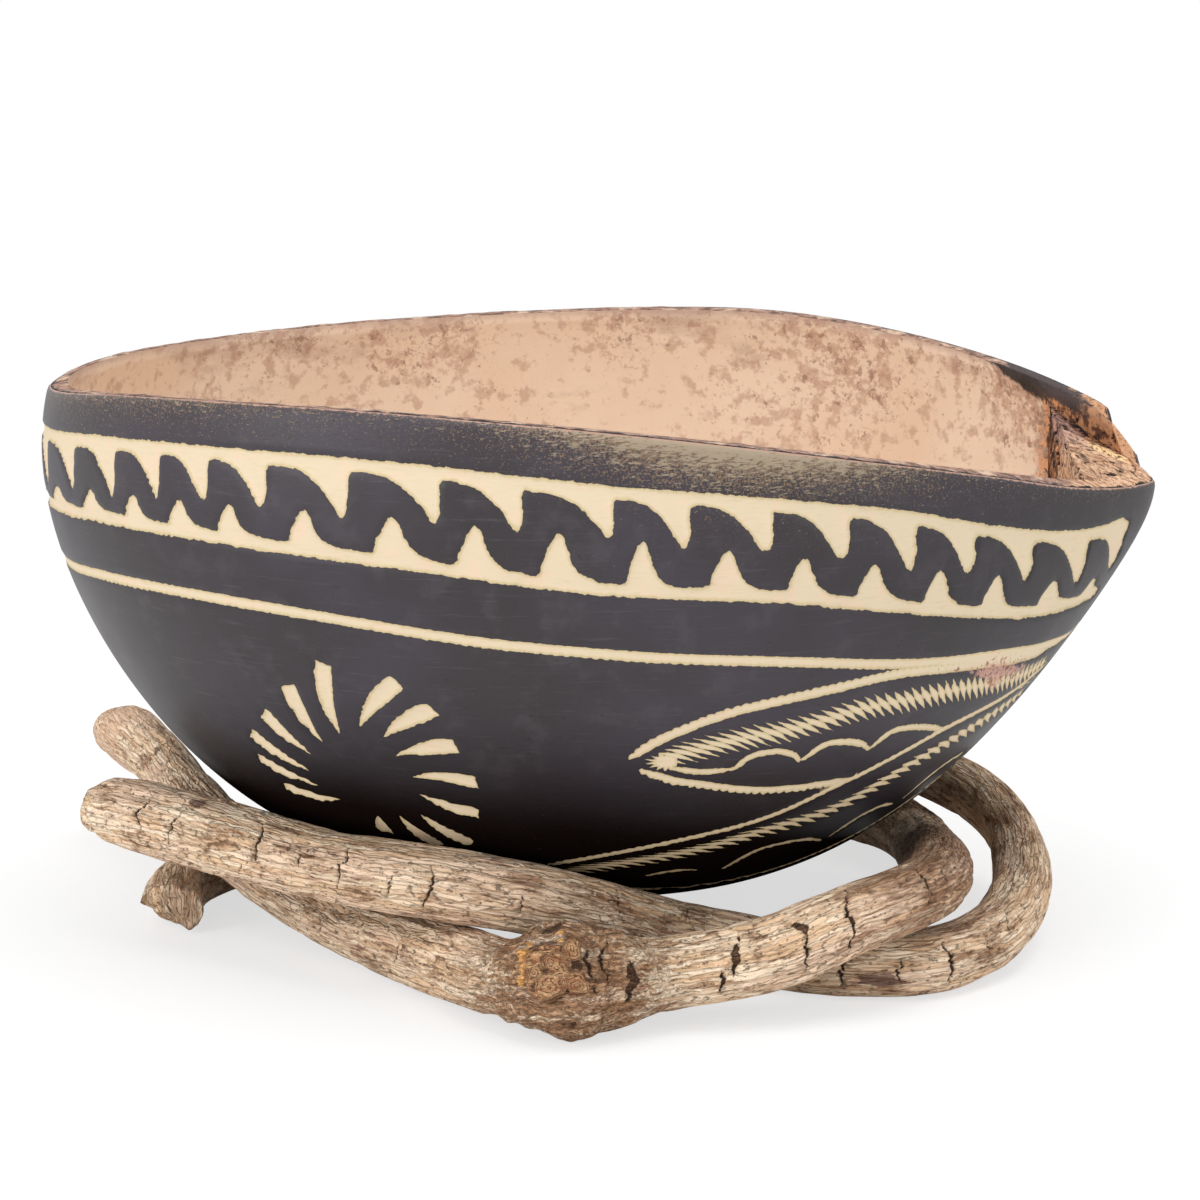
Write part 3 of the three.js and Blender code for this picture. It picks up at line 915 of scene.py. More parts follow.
def makeBareMaterial():
    material, tree = newMaterial("bare calabash inside", bowlColours["bare"])
    place = objectPlace(tree)
    drop = surfaceValue(tree, "drop")

    # soft brown spots, denser under the rim and towards the stem end, and broad stains there
    density = remap(noise(place, 0.04, 3.0), 0.35, 0.7, 0.14, 0.46) + remap(drop, 22.0, 2.0, 0.0, 0.2)
    density = density + remap(surfaceValue(tree, "side"), 10.0, 80.0, 0.0, 0.12)
    spots = remap(noise(place, 0.33, 3.0, 0.6) + density * 0.3, 0.62, 0.78)
    dark = speckle(place, 0.45, density - 0.1)
    clouds = noise(stretched(place, (0.6, 0.6, 1.6)), 0.08, 5.0, 0.62) + remap(drop, 12.0, 0.0, 0.0, 0.14)

    # the far wall beside the stem: black stain that ran over, then a worn grey shoulder above broken wood
    crumb = noise(place, 0.5, 4.0, 0.65) - 0.5
    x = axesOf(place)[0] + crumb * 8.0
    tan = bowlMix(remap(crumb, -0.12, 0.02), "stemShade", "stemTan")
    shoulder = mixColour(remap(x, 89.0, 92.0), bowlColours["topGrey"], tan)
    broken = bowlMix(remap(crumb, -0.06, 0.06), "stemBrown", "stemOrange")
    broken = mixColour(speckle(place, 0.55, 0.52), broken, bowlColours["stemHole"])
    beside = mixColour(remap(drop + crumb * 4.0, 3.0, 4.2), shoulder, broken)
    base = paintOver(
        bowlColours, bowlMix(remap(noise(place, 0.03, 4.0), 0.35, 0.7), "bare", "barePale"),
        (spots * 0.55, "bareSpot"),
        (speckle(place, 0.75, density) * 0.5, "bareSpot"),
        (dark * 0.6, "bareStain"),
        (remap(clouds, 0.6, 0.8, 0.0, 0.36), "bareStain"),
        (remap(drop, 2.2, 0.0, 0.0, 0.6), "rimWood"),
        (remap(surfaceValue(tree, "paint") + crumb * 3.0, -0.3, 0.8, 0.0, 0.94), "pit"),
        (remap(x, 82.0, 86.0) * surfaceValue(tree, "farWall"), beside))
    height = noise(place, 0.5, 5.0, 0.6) * 0.2 - dark * 0.1
    return finishMaterial(material, base, height, 0.5, mm, 0.65)


# Where stain ran over onto the inside, at the far side of the stem end, in millimetres
paintedCorner = {"start": 72.5, "spread": 0.62, "reach": 5.5, "topStart": 76.0}


# Where the stain is worn: how much round the rim, and more at places given as amount, bearing and width
rimWear = {"everywhere": 0.28, "places": [(0.78, 14, 22), (0.2, -60, 26)], "reach": 7.5, "least": 0.06}


def halvings(rowRadius):
    # how many times the columns are halved where the rows get short
    return int(np.clip(np.floor(np.log2(34 / max(rowRadius, 0.5))), 0, 4))


def ringsOf(points, extras):
    # rows of a columns-by-rows table as rings, halved towards the pole, with the last row as one point
    rings, keptPoints, keptExtras = [], [], [[] for _ in extras]
    index, level = 0, 0
    for row in range(points.shape[1] - 1):
        radius = np.mean(np.linalg.norm(points[:, row, :2], axis=1))
        level = min(max(level, halvings(radius)), level + 1)
        chosen = np.arange(0, len(points), 2 ** level)
        rings.append(np.arange(index, index + len(chosen)))
        keptPoints.append(points[chosen, row])
        for kept, extra in zip(keptExtras, extras):
            kept.append(extra[chosen, row])
        index += len(chosen)
    keptPoints.append(points[:1, -1])
    for kept, extra in zip(keptExtras, extras):
        kept.append(extra[:1, -1])
    return rings, np.concatenate(keptPoints), [np.concatenate(kept) for kept in keptExtras], index


def makeShell():
    columns = shellMesh["columns"]
    bearingTable = np.repeat(columnBearings[:, None], outside.shape[1], axis=1)
    outRings, outPoints, (outDrops, outBearings), pole = ringsOf(outside, [outsideDrops, bearingTable])

    # the run round the bowl at the teeth's height, which bearings turn into
    loop = np.linspace(-90, 270, 1441)
    path = skinPoint(np.stack([loop, np.full_like(loop, band["toothPoint"])], -1))
    runs = lengthsAlong(path)

    def runAt(bearing):
        whole = np.floor((bearing + 90) / 360)
        return np.interp(bearing - 360 * whole, loop, runs) + whole * runs[-1]

    normals = gourdNormal(outPoints)
    cutGap = np.full(len(outPoints), 9.0)
    inBand = np.where(outDrops < 32)[0]
    cutGap[inBand] = bandGap(outBearings[inBand], outDrops[inBand], runAt)
    cutGap = np.clip(cutGap, -5, 5)
    fromStep = np.where((outPoints[:, 0] > 60) & (outPoints[:, 1] > 0), outPoints[:, 1] - 17, 40)
    cutGap = np.maximum(cutGap, -fromStep)
    (blades, otherBlades), bladeGap = bladeFields(outPoints)
    secondField = secondLineField(outBearings, outDrops, runAt((outBearings + 90) % 360 - 90))
    secondField[:, 2] = np.minimum(secondField[:, 2], fromStep / 6)
    fields = {"secondLine": secondField, "blades": blades, "otherBlades": otherBlades}
    fields["fan"] = fanField(outPoints)
    dip = leaves["depth"] * smoothStep(0.4, -0.3, np.abs(secondField[:, 0]) - secondField[:, 2])
    for label, (reach, cutPart) in leaves["reaches"].items():
        fields[label] = strokeField(outPoints, leaves[label], reach)
        away = np.abs(fields[label][:, 0]) - fields[label][:, 2] * cutPart
        dip = dip + leaves["depth"] * smoothStep(0.4, -0.3, away)
    print("carved pattern worked out")

    twin = nearTwin(outBearings)
    wear = rimWear["everywhere"]
    for amount, middle, width in rimWear["places"]:
        wear = wear + amount * hill(twin, middle, width)
    wear = wear * np.exp(-outDrops / rimWear["reach"]) + rimWear["least"]

    # the skin: slightly uneven, cut down where the pattern is, rounded at the rim
    dip = dip + shellMesh["skinDip"] + 0.12 * unevenness(outPoints, 38, 1)
    dip = dip + 0.03 * unevenness(outPoints, 9, 2)
    dip = dip + shellMesh["cutDepth"] * smoothStep(0.3, -0.4, np.minimum(cutGap, bladeGap))
    rounding = shellMesh["rimRounding"]
    dip = dip + 0.45 * np.clip(1 - outDrops / 1.3, 0, 1) ** 2
    outPoints = outPoints - normals * dip[:, None]
    outPoints[:, 2] -= rounding * np.clip(1 - outDrops / 6, 0, 1) ** 3

    # the rim, across the wall from the skin to the inside
    lowered = rounding + 0.5 * smoothStep(0, -15, inside[..., 1])
    inTop = inside[:, 0] - [0, 0, 1] * lowered[:, :1]
    topEdge = outPoints[:columns]
    u = np.linspace(0, 1, shellMesh["rimRows"] + 2)[1:-1]
    rim = topEdge[:, None] * (1 - u[:, None]) + inTop[:, None] * u[:, None]
    rim[..., 2] += rounding * 0.25 * (1 - np.abs(2 * u - 1) ** 3)
    rim[..., 2] += 0.13 * unevenness(rim, 2.2, 4) + 0.12 * unevenness(rim, 7, 5)

    # the inside, with slight waves
    inBearings = np.repeat(columnBearings[:, None], inside.shape[1], axis=1)
    inPoints = inside.copy()
    inPoints[..., 2] -= lowered * np.clip(1 - insideDrops / 6, 0, 1) ** 3
    inRings, inKept, (inDrops, inBearingsKept), inPole = ringsOf(inPoints, [insideDrops, inBearings])
    inKept = inKept + gourdNormal(inKept) * (0.14 * unevenness(inKept, 24, 6) - 0.1)[:, None]

    # how far inside the painted corner beside the stem a point of the inside is
    corner = (inKept[:, 0] - paintedCorner["start"]) * paintedCorner["spread"]
    paint = np.minimum(corner, paintedCorner["reach"]) - inDrops + 0.9 * unevenness(inKept, 3.4, 7)
    paint = np.where(inKept[:, 1] > -12, paint, -9.0)

    rimFlat = rim.transpose(1, 0, 2).reshape(-1, 3)
    rimAcross = np.repeat(u, columns)
    rimPaint = np.where(rimFlat[:, 1] > 2, 0.5 * (rimFlat[:, 0] - paintedCorner["topStart"]), -9.0)

    firstRim = pole + 1
    firstInside = firstRim + len(rimFlat)
    rimRings = list(np.arange(firstRim, firstInside).reshape(-1, columns))
    inRings = [ring + firstInside for ring in inRings]
    skinFaces = flipped(bridge(outRings) + closeRing(outRings[-1], pole))
    rimFaces = bridge([outRings[0]] + rimRings + [inRings[0]])
    bareFaces = bridge(inRings) + closeRing(inRings[-1], inPole + firstInside)
    slots = np.repeat([0, 1, 2], [len(skinFaces), len(rimFaces), len(bareFaces)])

    # what the materials read, for the points of the skin, the rim and the inside
    counts = [len(outPoints), len(rimFlat), len(inKept)]
    values = {
        "cutGap": [cutGap, 5.0, 5.0],
        "wear": [wear, 0.3, 0.3],
        "drop": [outDrops, 0.0, inDrops],
        "paint": [5.0, rimPaint, paint],
        "side": [twin, 0.0, nearTwin(inBearingsKept)],
        "farWall": [0.0, 0.0, smoothStep(-3, 1, inKept[:, 1])],
        "acrossRim": [0.0, rimAcross, 1.0],
    }
    values = {label: np.concatenate([np.broadcast_to(some, count) for some, count in zip(parts, counts)])
              for label, parts in values.items()}
    vectors = {label: np.vstack([field, np.tile(farAway, (counts[1] + counts[2], 1))])
               for label, field in fields.items()}
    points = np.concatenate([outPoints, rimFlat, inKept])
    shell = makePiece("carved_shell", placeGourd(points), skinFaces + rimFaces + bareFaces,
                      [makeSkinMaterial(), makeRimMaterial(), makeBareMaterial()], slots, values, vectors)
    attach(shell, "bowl")
    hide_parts("gourd_bowl")


# The fibrous block that was left standing inside the stem end

stemBlock = {
    "depth": 16.5,
    "top": 7.0,
    "fall": tan(radians(19)),
    "lean": tan(radians(5)),
    "stations": 26,
    "across": 44,
    "embed": 1.4,
    "ledge": 5.0,  # where the bright ledge lies, to the far side of the middle
}


def makeBlockMaterial():
    material, tree = newMaterial("fibrous stem wood", bowlColours["stemTan"])
    place = objectPlace(tree)
    x, y, z = axesOf(place)
    fibres, bands = woodGrain(place, 0.9, 2.0)
    rough = noise(place, 0.45, 5.0, 0.66)
    shift = (rough - 0.5) * 10.0
    y = y + shift

    # the parts of the broken stem: orange wood at the far side, a bright ledge before it and a dull corner
    ledge = remap(abs(y - stemBlock["ledge"]), 3.2, 1.6) * remap(x, 86.0, 90.0)
    far = remap(y, stemBlock["ledge"] + 2.0, stemBlock["ledge"] + 5.0)
    broken = bowlMix(remap(rough, 0.42, 0.58), "stemBrown", "stemOrange")
    topLevel = float(placeGourd([84.0, 0.0, stemBlock["top"]])[2])
    dull = remap(abs(x - 87.0) + shift * 0.5, 4.0, 2.0) * remap(y, -2.0, 3.0)
    dull = dull * remap(z + shift * 0.4, topLevel - 3.6, topLevel - 2.0)
    holes = speckle(place, 0.5, 0.43 + far * 0.14)
    grit = speckle(place, 1.3, 0.45)
    base = paintOver(
        bowlColours, bowlMix(remap(fibres, 0.36, 0.6), "stemShade", "stemPale"),
        (remap(bands, 0.5, 0.7, 0.0, 0.6), "stemTan"),
        (ledge, "stemBright"),
        (far, broken),
        (dull * 0.6, "stemPurple"),
        (holes, "stemHole"),
        (remap(noise(place, 0.3, 4.0, 0.62), 0.57, 0.68, 0.0, 0.8), "stemHole"),
        (grit * 0.55, "stemBrown"))
    return finishMaterial(material, base, fibres + rough * 0.6 - holes - grit * 0.3, 1.0, 0.8 * mm, 0.85)


def makeStemBlock():
    face = gourd["length"] / 2 - stemBlock["depth"]
    stations = np.linspace(face, gourd["length"] / 2 - gourd["wall"] - 0.6, stemBlock["stations"])
    rings = []
    for x in stations:
        radius = gourdRadius(x, gourd["wall"]) + stemBlock["embed"]
        v = np.linspace(-1, 1, stemBlock["across"])
        topLevel = stemBlock["top"] - (x - face) * stemBlock["fall"]
        half = np.sqrt(max(radius ** 2 - topLevel ** 2, 0.5))
        y = v * half
        z = topLevel + y * stemBlock["lean"]
        limit = np.sqrt(np.maximum(radius ** 2 - y ** 2, 0))
        topRow = np.stack([np.full_like(y, x), y, np.minimum(z, limit)], -1)
        startAngle = np.arctan2(topRow[-1, 2], topRow[-1, 1])
        endAngle = np.arctan2(topRow[0, 2], topRow[0, 1])
        if endAngle > 0:
            endAngle -= 2 * pi
        angles = np.linspace(startAngle, endAngle, stemBlock["across"] + 2)[1:-1]
        under = np.stack([np.full_like(angles, x), radius * np.cos(angles), radius * np.sin(angles)], -1)
        rings.append(np.vstack([topRow, under]))
    rings = np.array(rings)
    count = rings.shape[1]
    top = np.arange(count) < stemBlock["across"]
    rough = 0.8 * unevenness(rings, (6, 2.5, 6), 11) + 0.5 * unevenness(rings, (2.5, 1.2, 3), 12)
    rings[..., 2] += np.where(top, rough - 0.4, 0)
    rings[0, :, 0] += 0.5 * unevenness(rings[0], 3, 13)
    centres = [rings[0].mean(axis=0), rings[-1].mean(axis=0)]
    inner = centres[0] + (rings[0] - centres[0]) * 0.5
    inner[:, 0] += 0.4 * unevenness(inner, 3, 14)
    points = np.vstack([inner, rings.reshape(-1, 3), centres])
    numbers = np.arange(len(points) - 2).reshape(-1, count)
    startPole, endPole = len(points) - 2, len(points) - 1
    faces = bridge(numbers) + flipped(closeRing(numbers[0], startPole)) + closeRing(numbers[-1], endPole)
    block = makePiece("stem_block", placeGourd(points), faces, [makeBlockMaterial()])
    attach(block, "bowl")


# The vine stems, with the same routes as the solids

vine = {
    "thickness": 12.0,
    "tableFlat": 0.5,
    "sampleStep": 0.25,
    "ringStep": 5,  # samples from one ring to the next, away from the cracks
    "crackMargin": 0.9,  # how far before and behind a crack the rings are as close as the samples
    "sides": 112,
    "endRings": [0.97, 0.9, 0.8, 0.66, 0.5, 0.34, 0.17],  # how wide the rings of a cut face are
    "trim": 0.2,  # keeps the bark inside the solid
    # height of the bark's forms and their size along and across the stem
    "relief": {"lumps": (0.4, (26, 9, 9)), "grooves": (0.5, (34, 2.9, 2.9)), "fibres": (0.24, (15, 1.25, 1.25)),
               "grain": (0.1, (3, 1.2, 1.2))},
}

# [x, y, height / thickness, radius / thickness]
burlRadius = 0.87
innerRoute = [
    [-97, 65, 1.83, 0.54], [-91, 50, 1.79, 0.52], [-84.5, 35, 1.73, 0.48], [-78, 18, 1.65, 0.47],
    [-71.5, 2, 1.51, 0.48], [-63.5, -9, 1.17, 0.52], [-53, -19, 0.83, 0.54], [-43, -29, 0.65, 0.56],
    [-33, -41, 0.61, 0.57], [-23, -54, 0.65, 0.575], [-15.5, -64, 0.73, 0.61], [-7, -69, 0.865, burlRadius],
    [0.5, -68, 0.84, 0.77], [9, -64.5, 0.8, 0.58], [20, -63, 0.9, 0.55], [31, -62, 1.12, 0.54],
    [42, -58.5, 1.44, 0.53], [51, -54, 1.61, 0.525], [57.2, -45, 1.64, 0.525], [60, -30, 1.51, 0.53],
    [60.5, -14, 1.26, 0.53], [60.8, 2, 1, 0.53], [61, 18, 0.77, 0.525], [60.3, 34, 0.59, 0.51],
    [55.5, 50, 0.5, 0.5], [43, 60, 0.49, 0.49], [25, 61, 0.49, 0.49], [2, 57, 0.48, 0.48],
    [-22, 48, 0.48, 0.48], [-44, 37, 0.47, 0.475], [-62, 27, 0.47, 0.475], [-74, 14, 0.47, 0.475],
    [-78, 1, 0.47, 0.48], [-77.8, -14.5, 0.49, 0.49],
]
outerRoute = [
    [-90.5, -15.5, 2.14, 0.42], [-87, -17.5, 2.15, 0.54], [-74, -26, 2.09, 0.58], [-60, -36.5, 2.02, 0.565],
    [-45, -46.5, 1.94, 0.56], [-29, -53, 1.89, 0.56], [-13, -53.5, 1.66, 0.55], [-1, -49, 1.31, 0.54],
    [9, -43.5, 0.94, 0.53], [19, -39.5, 0.66, 0.525], [31, -42, 0.52, 0.525], [45, -47, 0.515, 0.515],
    [58, -44.5, 0.52, 0.515], [69, -33, 0.59, 0.5], [76, -15, 0.82, 0.475], [77, 6, 1.16, 0.46],
    [72, 25, 1.42, 0.465], [61, 41, 1.59, 0.48], [45, 52, 1.72, 0.49], [24, 55.5, 1.79, 0.485],
    [2, 55.3, 1.79, 0.485], [-20, 53.5, 1.77, 0.475], [-42, 48, 1.72, 0.465], [-58, 42, 1.66, 0.465],
    [-70, 37, 1.62, 0.465],
]


def centripetalLine(points, steps):
    # the same rounded curve through the route's points as the solid has, with its parameter
    points = np.array(points, float)
    ends = np.vstack([2 * points[0] - points[1], points, 2 * points[-1] - points[-2]])
    line, parameters = [], []
    for k in range(len(points) - 1):
        a, b, c, d = ends[k:k + 4]
        first, second, third = (np.linalg.norm(q - p) ** 0.5 for p, q in ((a, b), (b, c), (c, d)))
        leave = ((b - a) / first - (c - a) / (first + second) + (c - b) / second) * second
        arrive = ((c - b) / second - (d - b) / (second + third) + (d - c) / third) * second
        u = np.linspace(0, 1, steps, endpoint=False)[:, None]
        line.append(b + leave * u + (3 * (c - b) - 2 * leave - arrive) * u ** 2
                    + (2 * (b - c) + leave + arrive) * u ** 3)
        parameters.append((k + u[:, 0]) / (len(points) - 1))
    return np.vstack(line + [points[-1:]]), np.append(np.concatenate(parameters), 1.0)


def stemPath(route):
    # runs, centres, radii, directions and untwisted side vectors at even steps along a stem
    thickness = vine["thickness"]
    centres = [[x + gourdMiddle[0], y, height * thickness - vine["tableFlat"]] for x, y, height, _ in route]
    radiusAt = curveThrough([[k / (len(route) - 1), p[3] * thickness] for k, p in enumerate(route)])
    line, parameters = centripetalLine(centres, 60)
    lengths = lengthsAlong(line)
    runs = np.linspace(0, lengths[-1], int(lengths[-1] / vine["sampleStep"]) + 1)
    centre = resampled(line, lengths, runs)
    radius = radiusAt(np.interp(runs, lengths, parameters))
    tangent = np.gradient(centre, axis=0)
    for _ in range(3):
        tangent[1:-1] = (tangent[:-2] + 2 * tangent[1:-1] + tangent[2:]) / 4
    tangent /= np.linalg.norm(tangent, axis=1, keepdims=True)
    side = np.empty_like(centre)
    held = np.array([0.0, 0.0, 1.0])
    for k, direction in enumerate(tangent):
        held = held - direction * np.dot(held, direction)
        held /= np.linalg.norm(held)
        side[k] = held
    return runs, centre, radius, tangent, side


# Marks on the stems. A run is the distance along the stem in millimetres and a turn is the angle round it in
# degrees, 0 at the top and 90 at the near side. A crack is (its [run, turn] points, half width), and a patch of
# stained bark (run, turn, half length, half width)
innerMarks = {
    "cracks": [
        ([[108.2, 62], [108.6, 96]], 0.2), ([[132.4, 56], [131.6, 98]], 0.26),
        ([[124.8, 82], [125.2, 104]], 0.16),
        ([[89, 40], [90, 84]], 0.2), ([[62, 20], [60.5, 74]], 0.2), ([[147, 74], [146, 118]], 0.2),
        ([[173.8, 22], [171.4, 52], [173.2, 82]], 0.3), ([[170.2, 30], [170, 56], [171, 92]], 0.26),
        ([[176.2, 50], [175.8, 106]], 0.62), ([[198.9, 20], [198.6, 37]], 0.22),
        ([[198.4, 36], [196.3, 94]], 0.66),
        ([[194.4, 80], [193.6, 118]], 0.34), ([[208.6, 30], [209.4, 60]], 0.75),
        ([[209.6, 58], [207.3, 120]], 0.26),
        ([[218.4, 14], [217.2, 50], [216.6, 80], [214.6, 140]], 0.3), ([[232, 10], [230, 96]], 0.2),
        ([[252, -40], [251, 60]], 0.24), ([[281, -70], [280, 40]], 0.24), ([[330, -150], [331, 20]], 0.24),
        ([[368, -120], [366, -10]], 0.24), ([[411, -140], [413, 10]], 0.22),
        ([[456, -120], [455, 30]], 0.22),
        ([[486, -30], [487, 70]], 0.22),
    ],
    "patches": [(39.5, 29, 1.1, 0.8)],
    "stripped": 23.0,  # the cut end without bark
    # swellings: run, turn, half length, half width and height
    "lumps": [(39.5, 29, 1.4, 1.2, 0.5), (146, 20, 7, 4, 0.7), (1, 165, 4, 4, 1.2), (2, 10, 5, 4, -1.0)],
    "age": [[0, 0.1], [0.41, 0.1], [0.455, 0.9], [0.53, 0.9], [0.58, 0.4], [0.95, 0.4], [1, 0.2]],
    "cuts": [(-0.6, 0.0), (0.45, 0.1)],  # how far the two end faces lean, up and across
}
outerMarks = {
    "cracks": [
        ([[15.6, 34], [14.2, 68], [15.2, 92]], 0.36), ([[16.6, 96], [16.9, 138]], 0.18),
        ([[25.2, 32], [22.9, 64], [22, 84], [22.6, 116]], 0.3),
        ([[40.2, 14], [41.9, 48], [41.9, 74], [42.6, 96]], 0.4),
        ([[39, 100], [38.6, 116]], 0.2), ([[51.6, 46], [51, 86]], 0.24),
        ([[59.6, 30], [58.9, 66], [58.6, 112]], 0.28),
        ([[68.4, 66], [66.8, 108]], 0.2), ([[73.8, 44], [74.2, 80], [72.8, 122]], 0.3),
        ([[88, 60], [87, 108]], 0.16),
        ([[103, 10], [104, 66]], 0.18), ([[119, -10], [118, 50]], 0.18), ([[145, 88], [144, 140]], 0.2),
        ([[151.3, 66], [151, 122]], 0.3), ([[158.8, 64], [159.3, 116]], 0.24),
        ([[166.8, 36], [166.4, 90], [167, 122]], 0.36), ([[174.4, 56], [173.8, 96]], 0.2),
        ([[184.6, 14], [181.6, 50], [180.8, 84]], 0.22), ([[197, -20], [195, 60]], 0.2),
        ([[214, -30], [213, 50]], 0.22), ([[239, -60], [240, 30]], 0.22), ([[270, -160], [271, -30]], 0.24),
        ([[303, -150], [301, -40]], 0.22), ([[336, -140], [338, -20]], 0.24),
        ([[371, -150], [370, -40]], 0.22),
    ],
    "patches": [(25.3, 24, 1.9, 1.1), (156.2, 104, 2.8, 1.6)],
    "stripped": 0.0,
    "lumps": [(26, 30, 3, 2.5, 0.3), (1, 105, 3, 2.4, 1.3), (0, -30, 5, 4, -1.1), (0, 165, 4, 3, -0.7)],
    "age": [[0, 0.1], [0.5, 0.3], [1, 0.6]],
    "cuts": [(0.2, 0.25), (0.3, 0.2)],
}

# The burl's near face, in millimetres from the middle of the solid's run there: [x, z, radius, height]
burl = {
    "nearSide": -66.0,
    "runs": (150.0, 186.0),
    "fineRuns": (158, 180),  # where every second sample has a ring
    "swell": ((144, 164), (192, 172)),  # the runs over which the burl rises and falls
    "rosettes": [[-8.4, 11.7, 2.4, 0.7], [-8.1, 15.4, 1.3, 0.5], [-11.0, 13.9, 1.5, 0.4],
                 [-4.6, 17.5, 1.75, 0.7], [-3.7, 12.0, 2.1, 0.6]],
    "oval": [-8.9, 13.6, 3.9, 4.9],  # x, z and its half axes
    "hollows": [[-9.2, 14.0, 0.75, 0.9], [-3.9, 15.1, 1.3, 0.7], [-8.8, 20.4, 2.4, 1.2],
                [-5.5, 4.6, 2.2, 0.8]],
    "orange": [[-12.7, 15.6, 1.2], [-13.2, 13.2, 1.0], [-13.4, 11.4, 0.7], [-6.6, 18.1, 1.1],
               [-12, 17.2, 0.9]],
}

barkColours = {
    "pale": srgb(252, 229, 200),
    "tan": srgb(233, 197, 160),
    "dull": srgb(186, 148, 112),
    "pink": srgb(242, 211, 184),
    "brown": srgb(140, 98, 68),
    "dark": srgb(84, 58, 42),
    "crack": srgb(58, 37, 26),
    "stripped": srgb(222, 182, 152),
    "stainedPatch": srgb(118, 88, 78),
    "orange": srgb(236, 174, 104),
    "burl": srgb(170, 126, 90),
    "petal": srgb(194, 134, 94),
    "rosette": srgb(232, 184, 138),
    "rosetteDark": srgb(104, 66, 40),
    "hatch": srgb(118, 84, 60),
}


def barkMix(mask, first, second):
    return mixColour(mask, barkColours[first], barkColours[second])


@nodeGroup("Bark flakes", ["Place", "Length", "Width"], ["Tone", "Edge"])
def barkFlakes(place, length, width):
    # long flakes of bark, each with a tone of its own and an edge
    drift = vectorCalc("SUBTRACT", noise(place, 0.22, 3.0, 0.5, "Color"), (0.5, 0.5, 0.5))
    moved = vectorCalc("ADD", place, vectorCalc("MULTIPLY", drift, (6.0, 1.5, 1.5)))
    across = 1.0 / width
    size = newNode(place.tree, "ShaderNodeCombineXYZ", {"X": 1.0 / length, "Y": across, "Z": across})
    cells = {"Vector": vectorCalc("MULTIPLY", moved, size), "Scale": 1.0}
    tone = newNode(place.tree, "ShaderNodeTexVoronoi", cells, "Color", feature="F1")
    edge = newNode(place.tree, "ShaderNodeTexVoronoi", cells, "Distance", feature="DISTANCE_TO_EDGE")
    return [axesOf(tone)[0], edge]


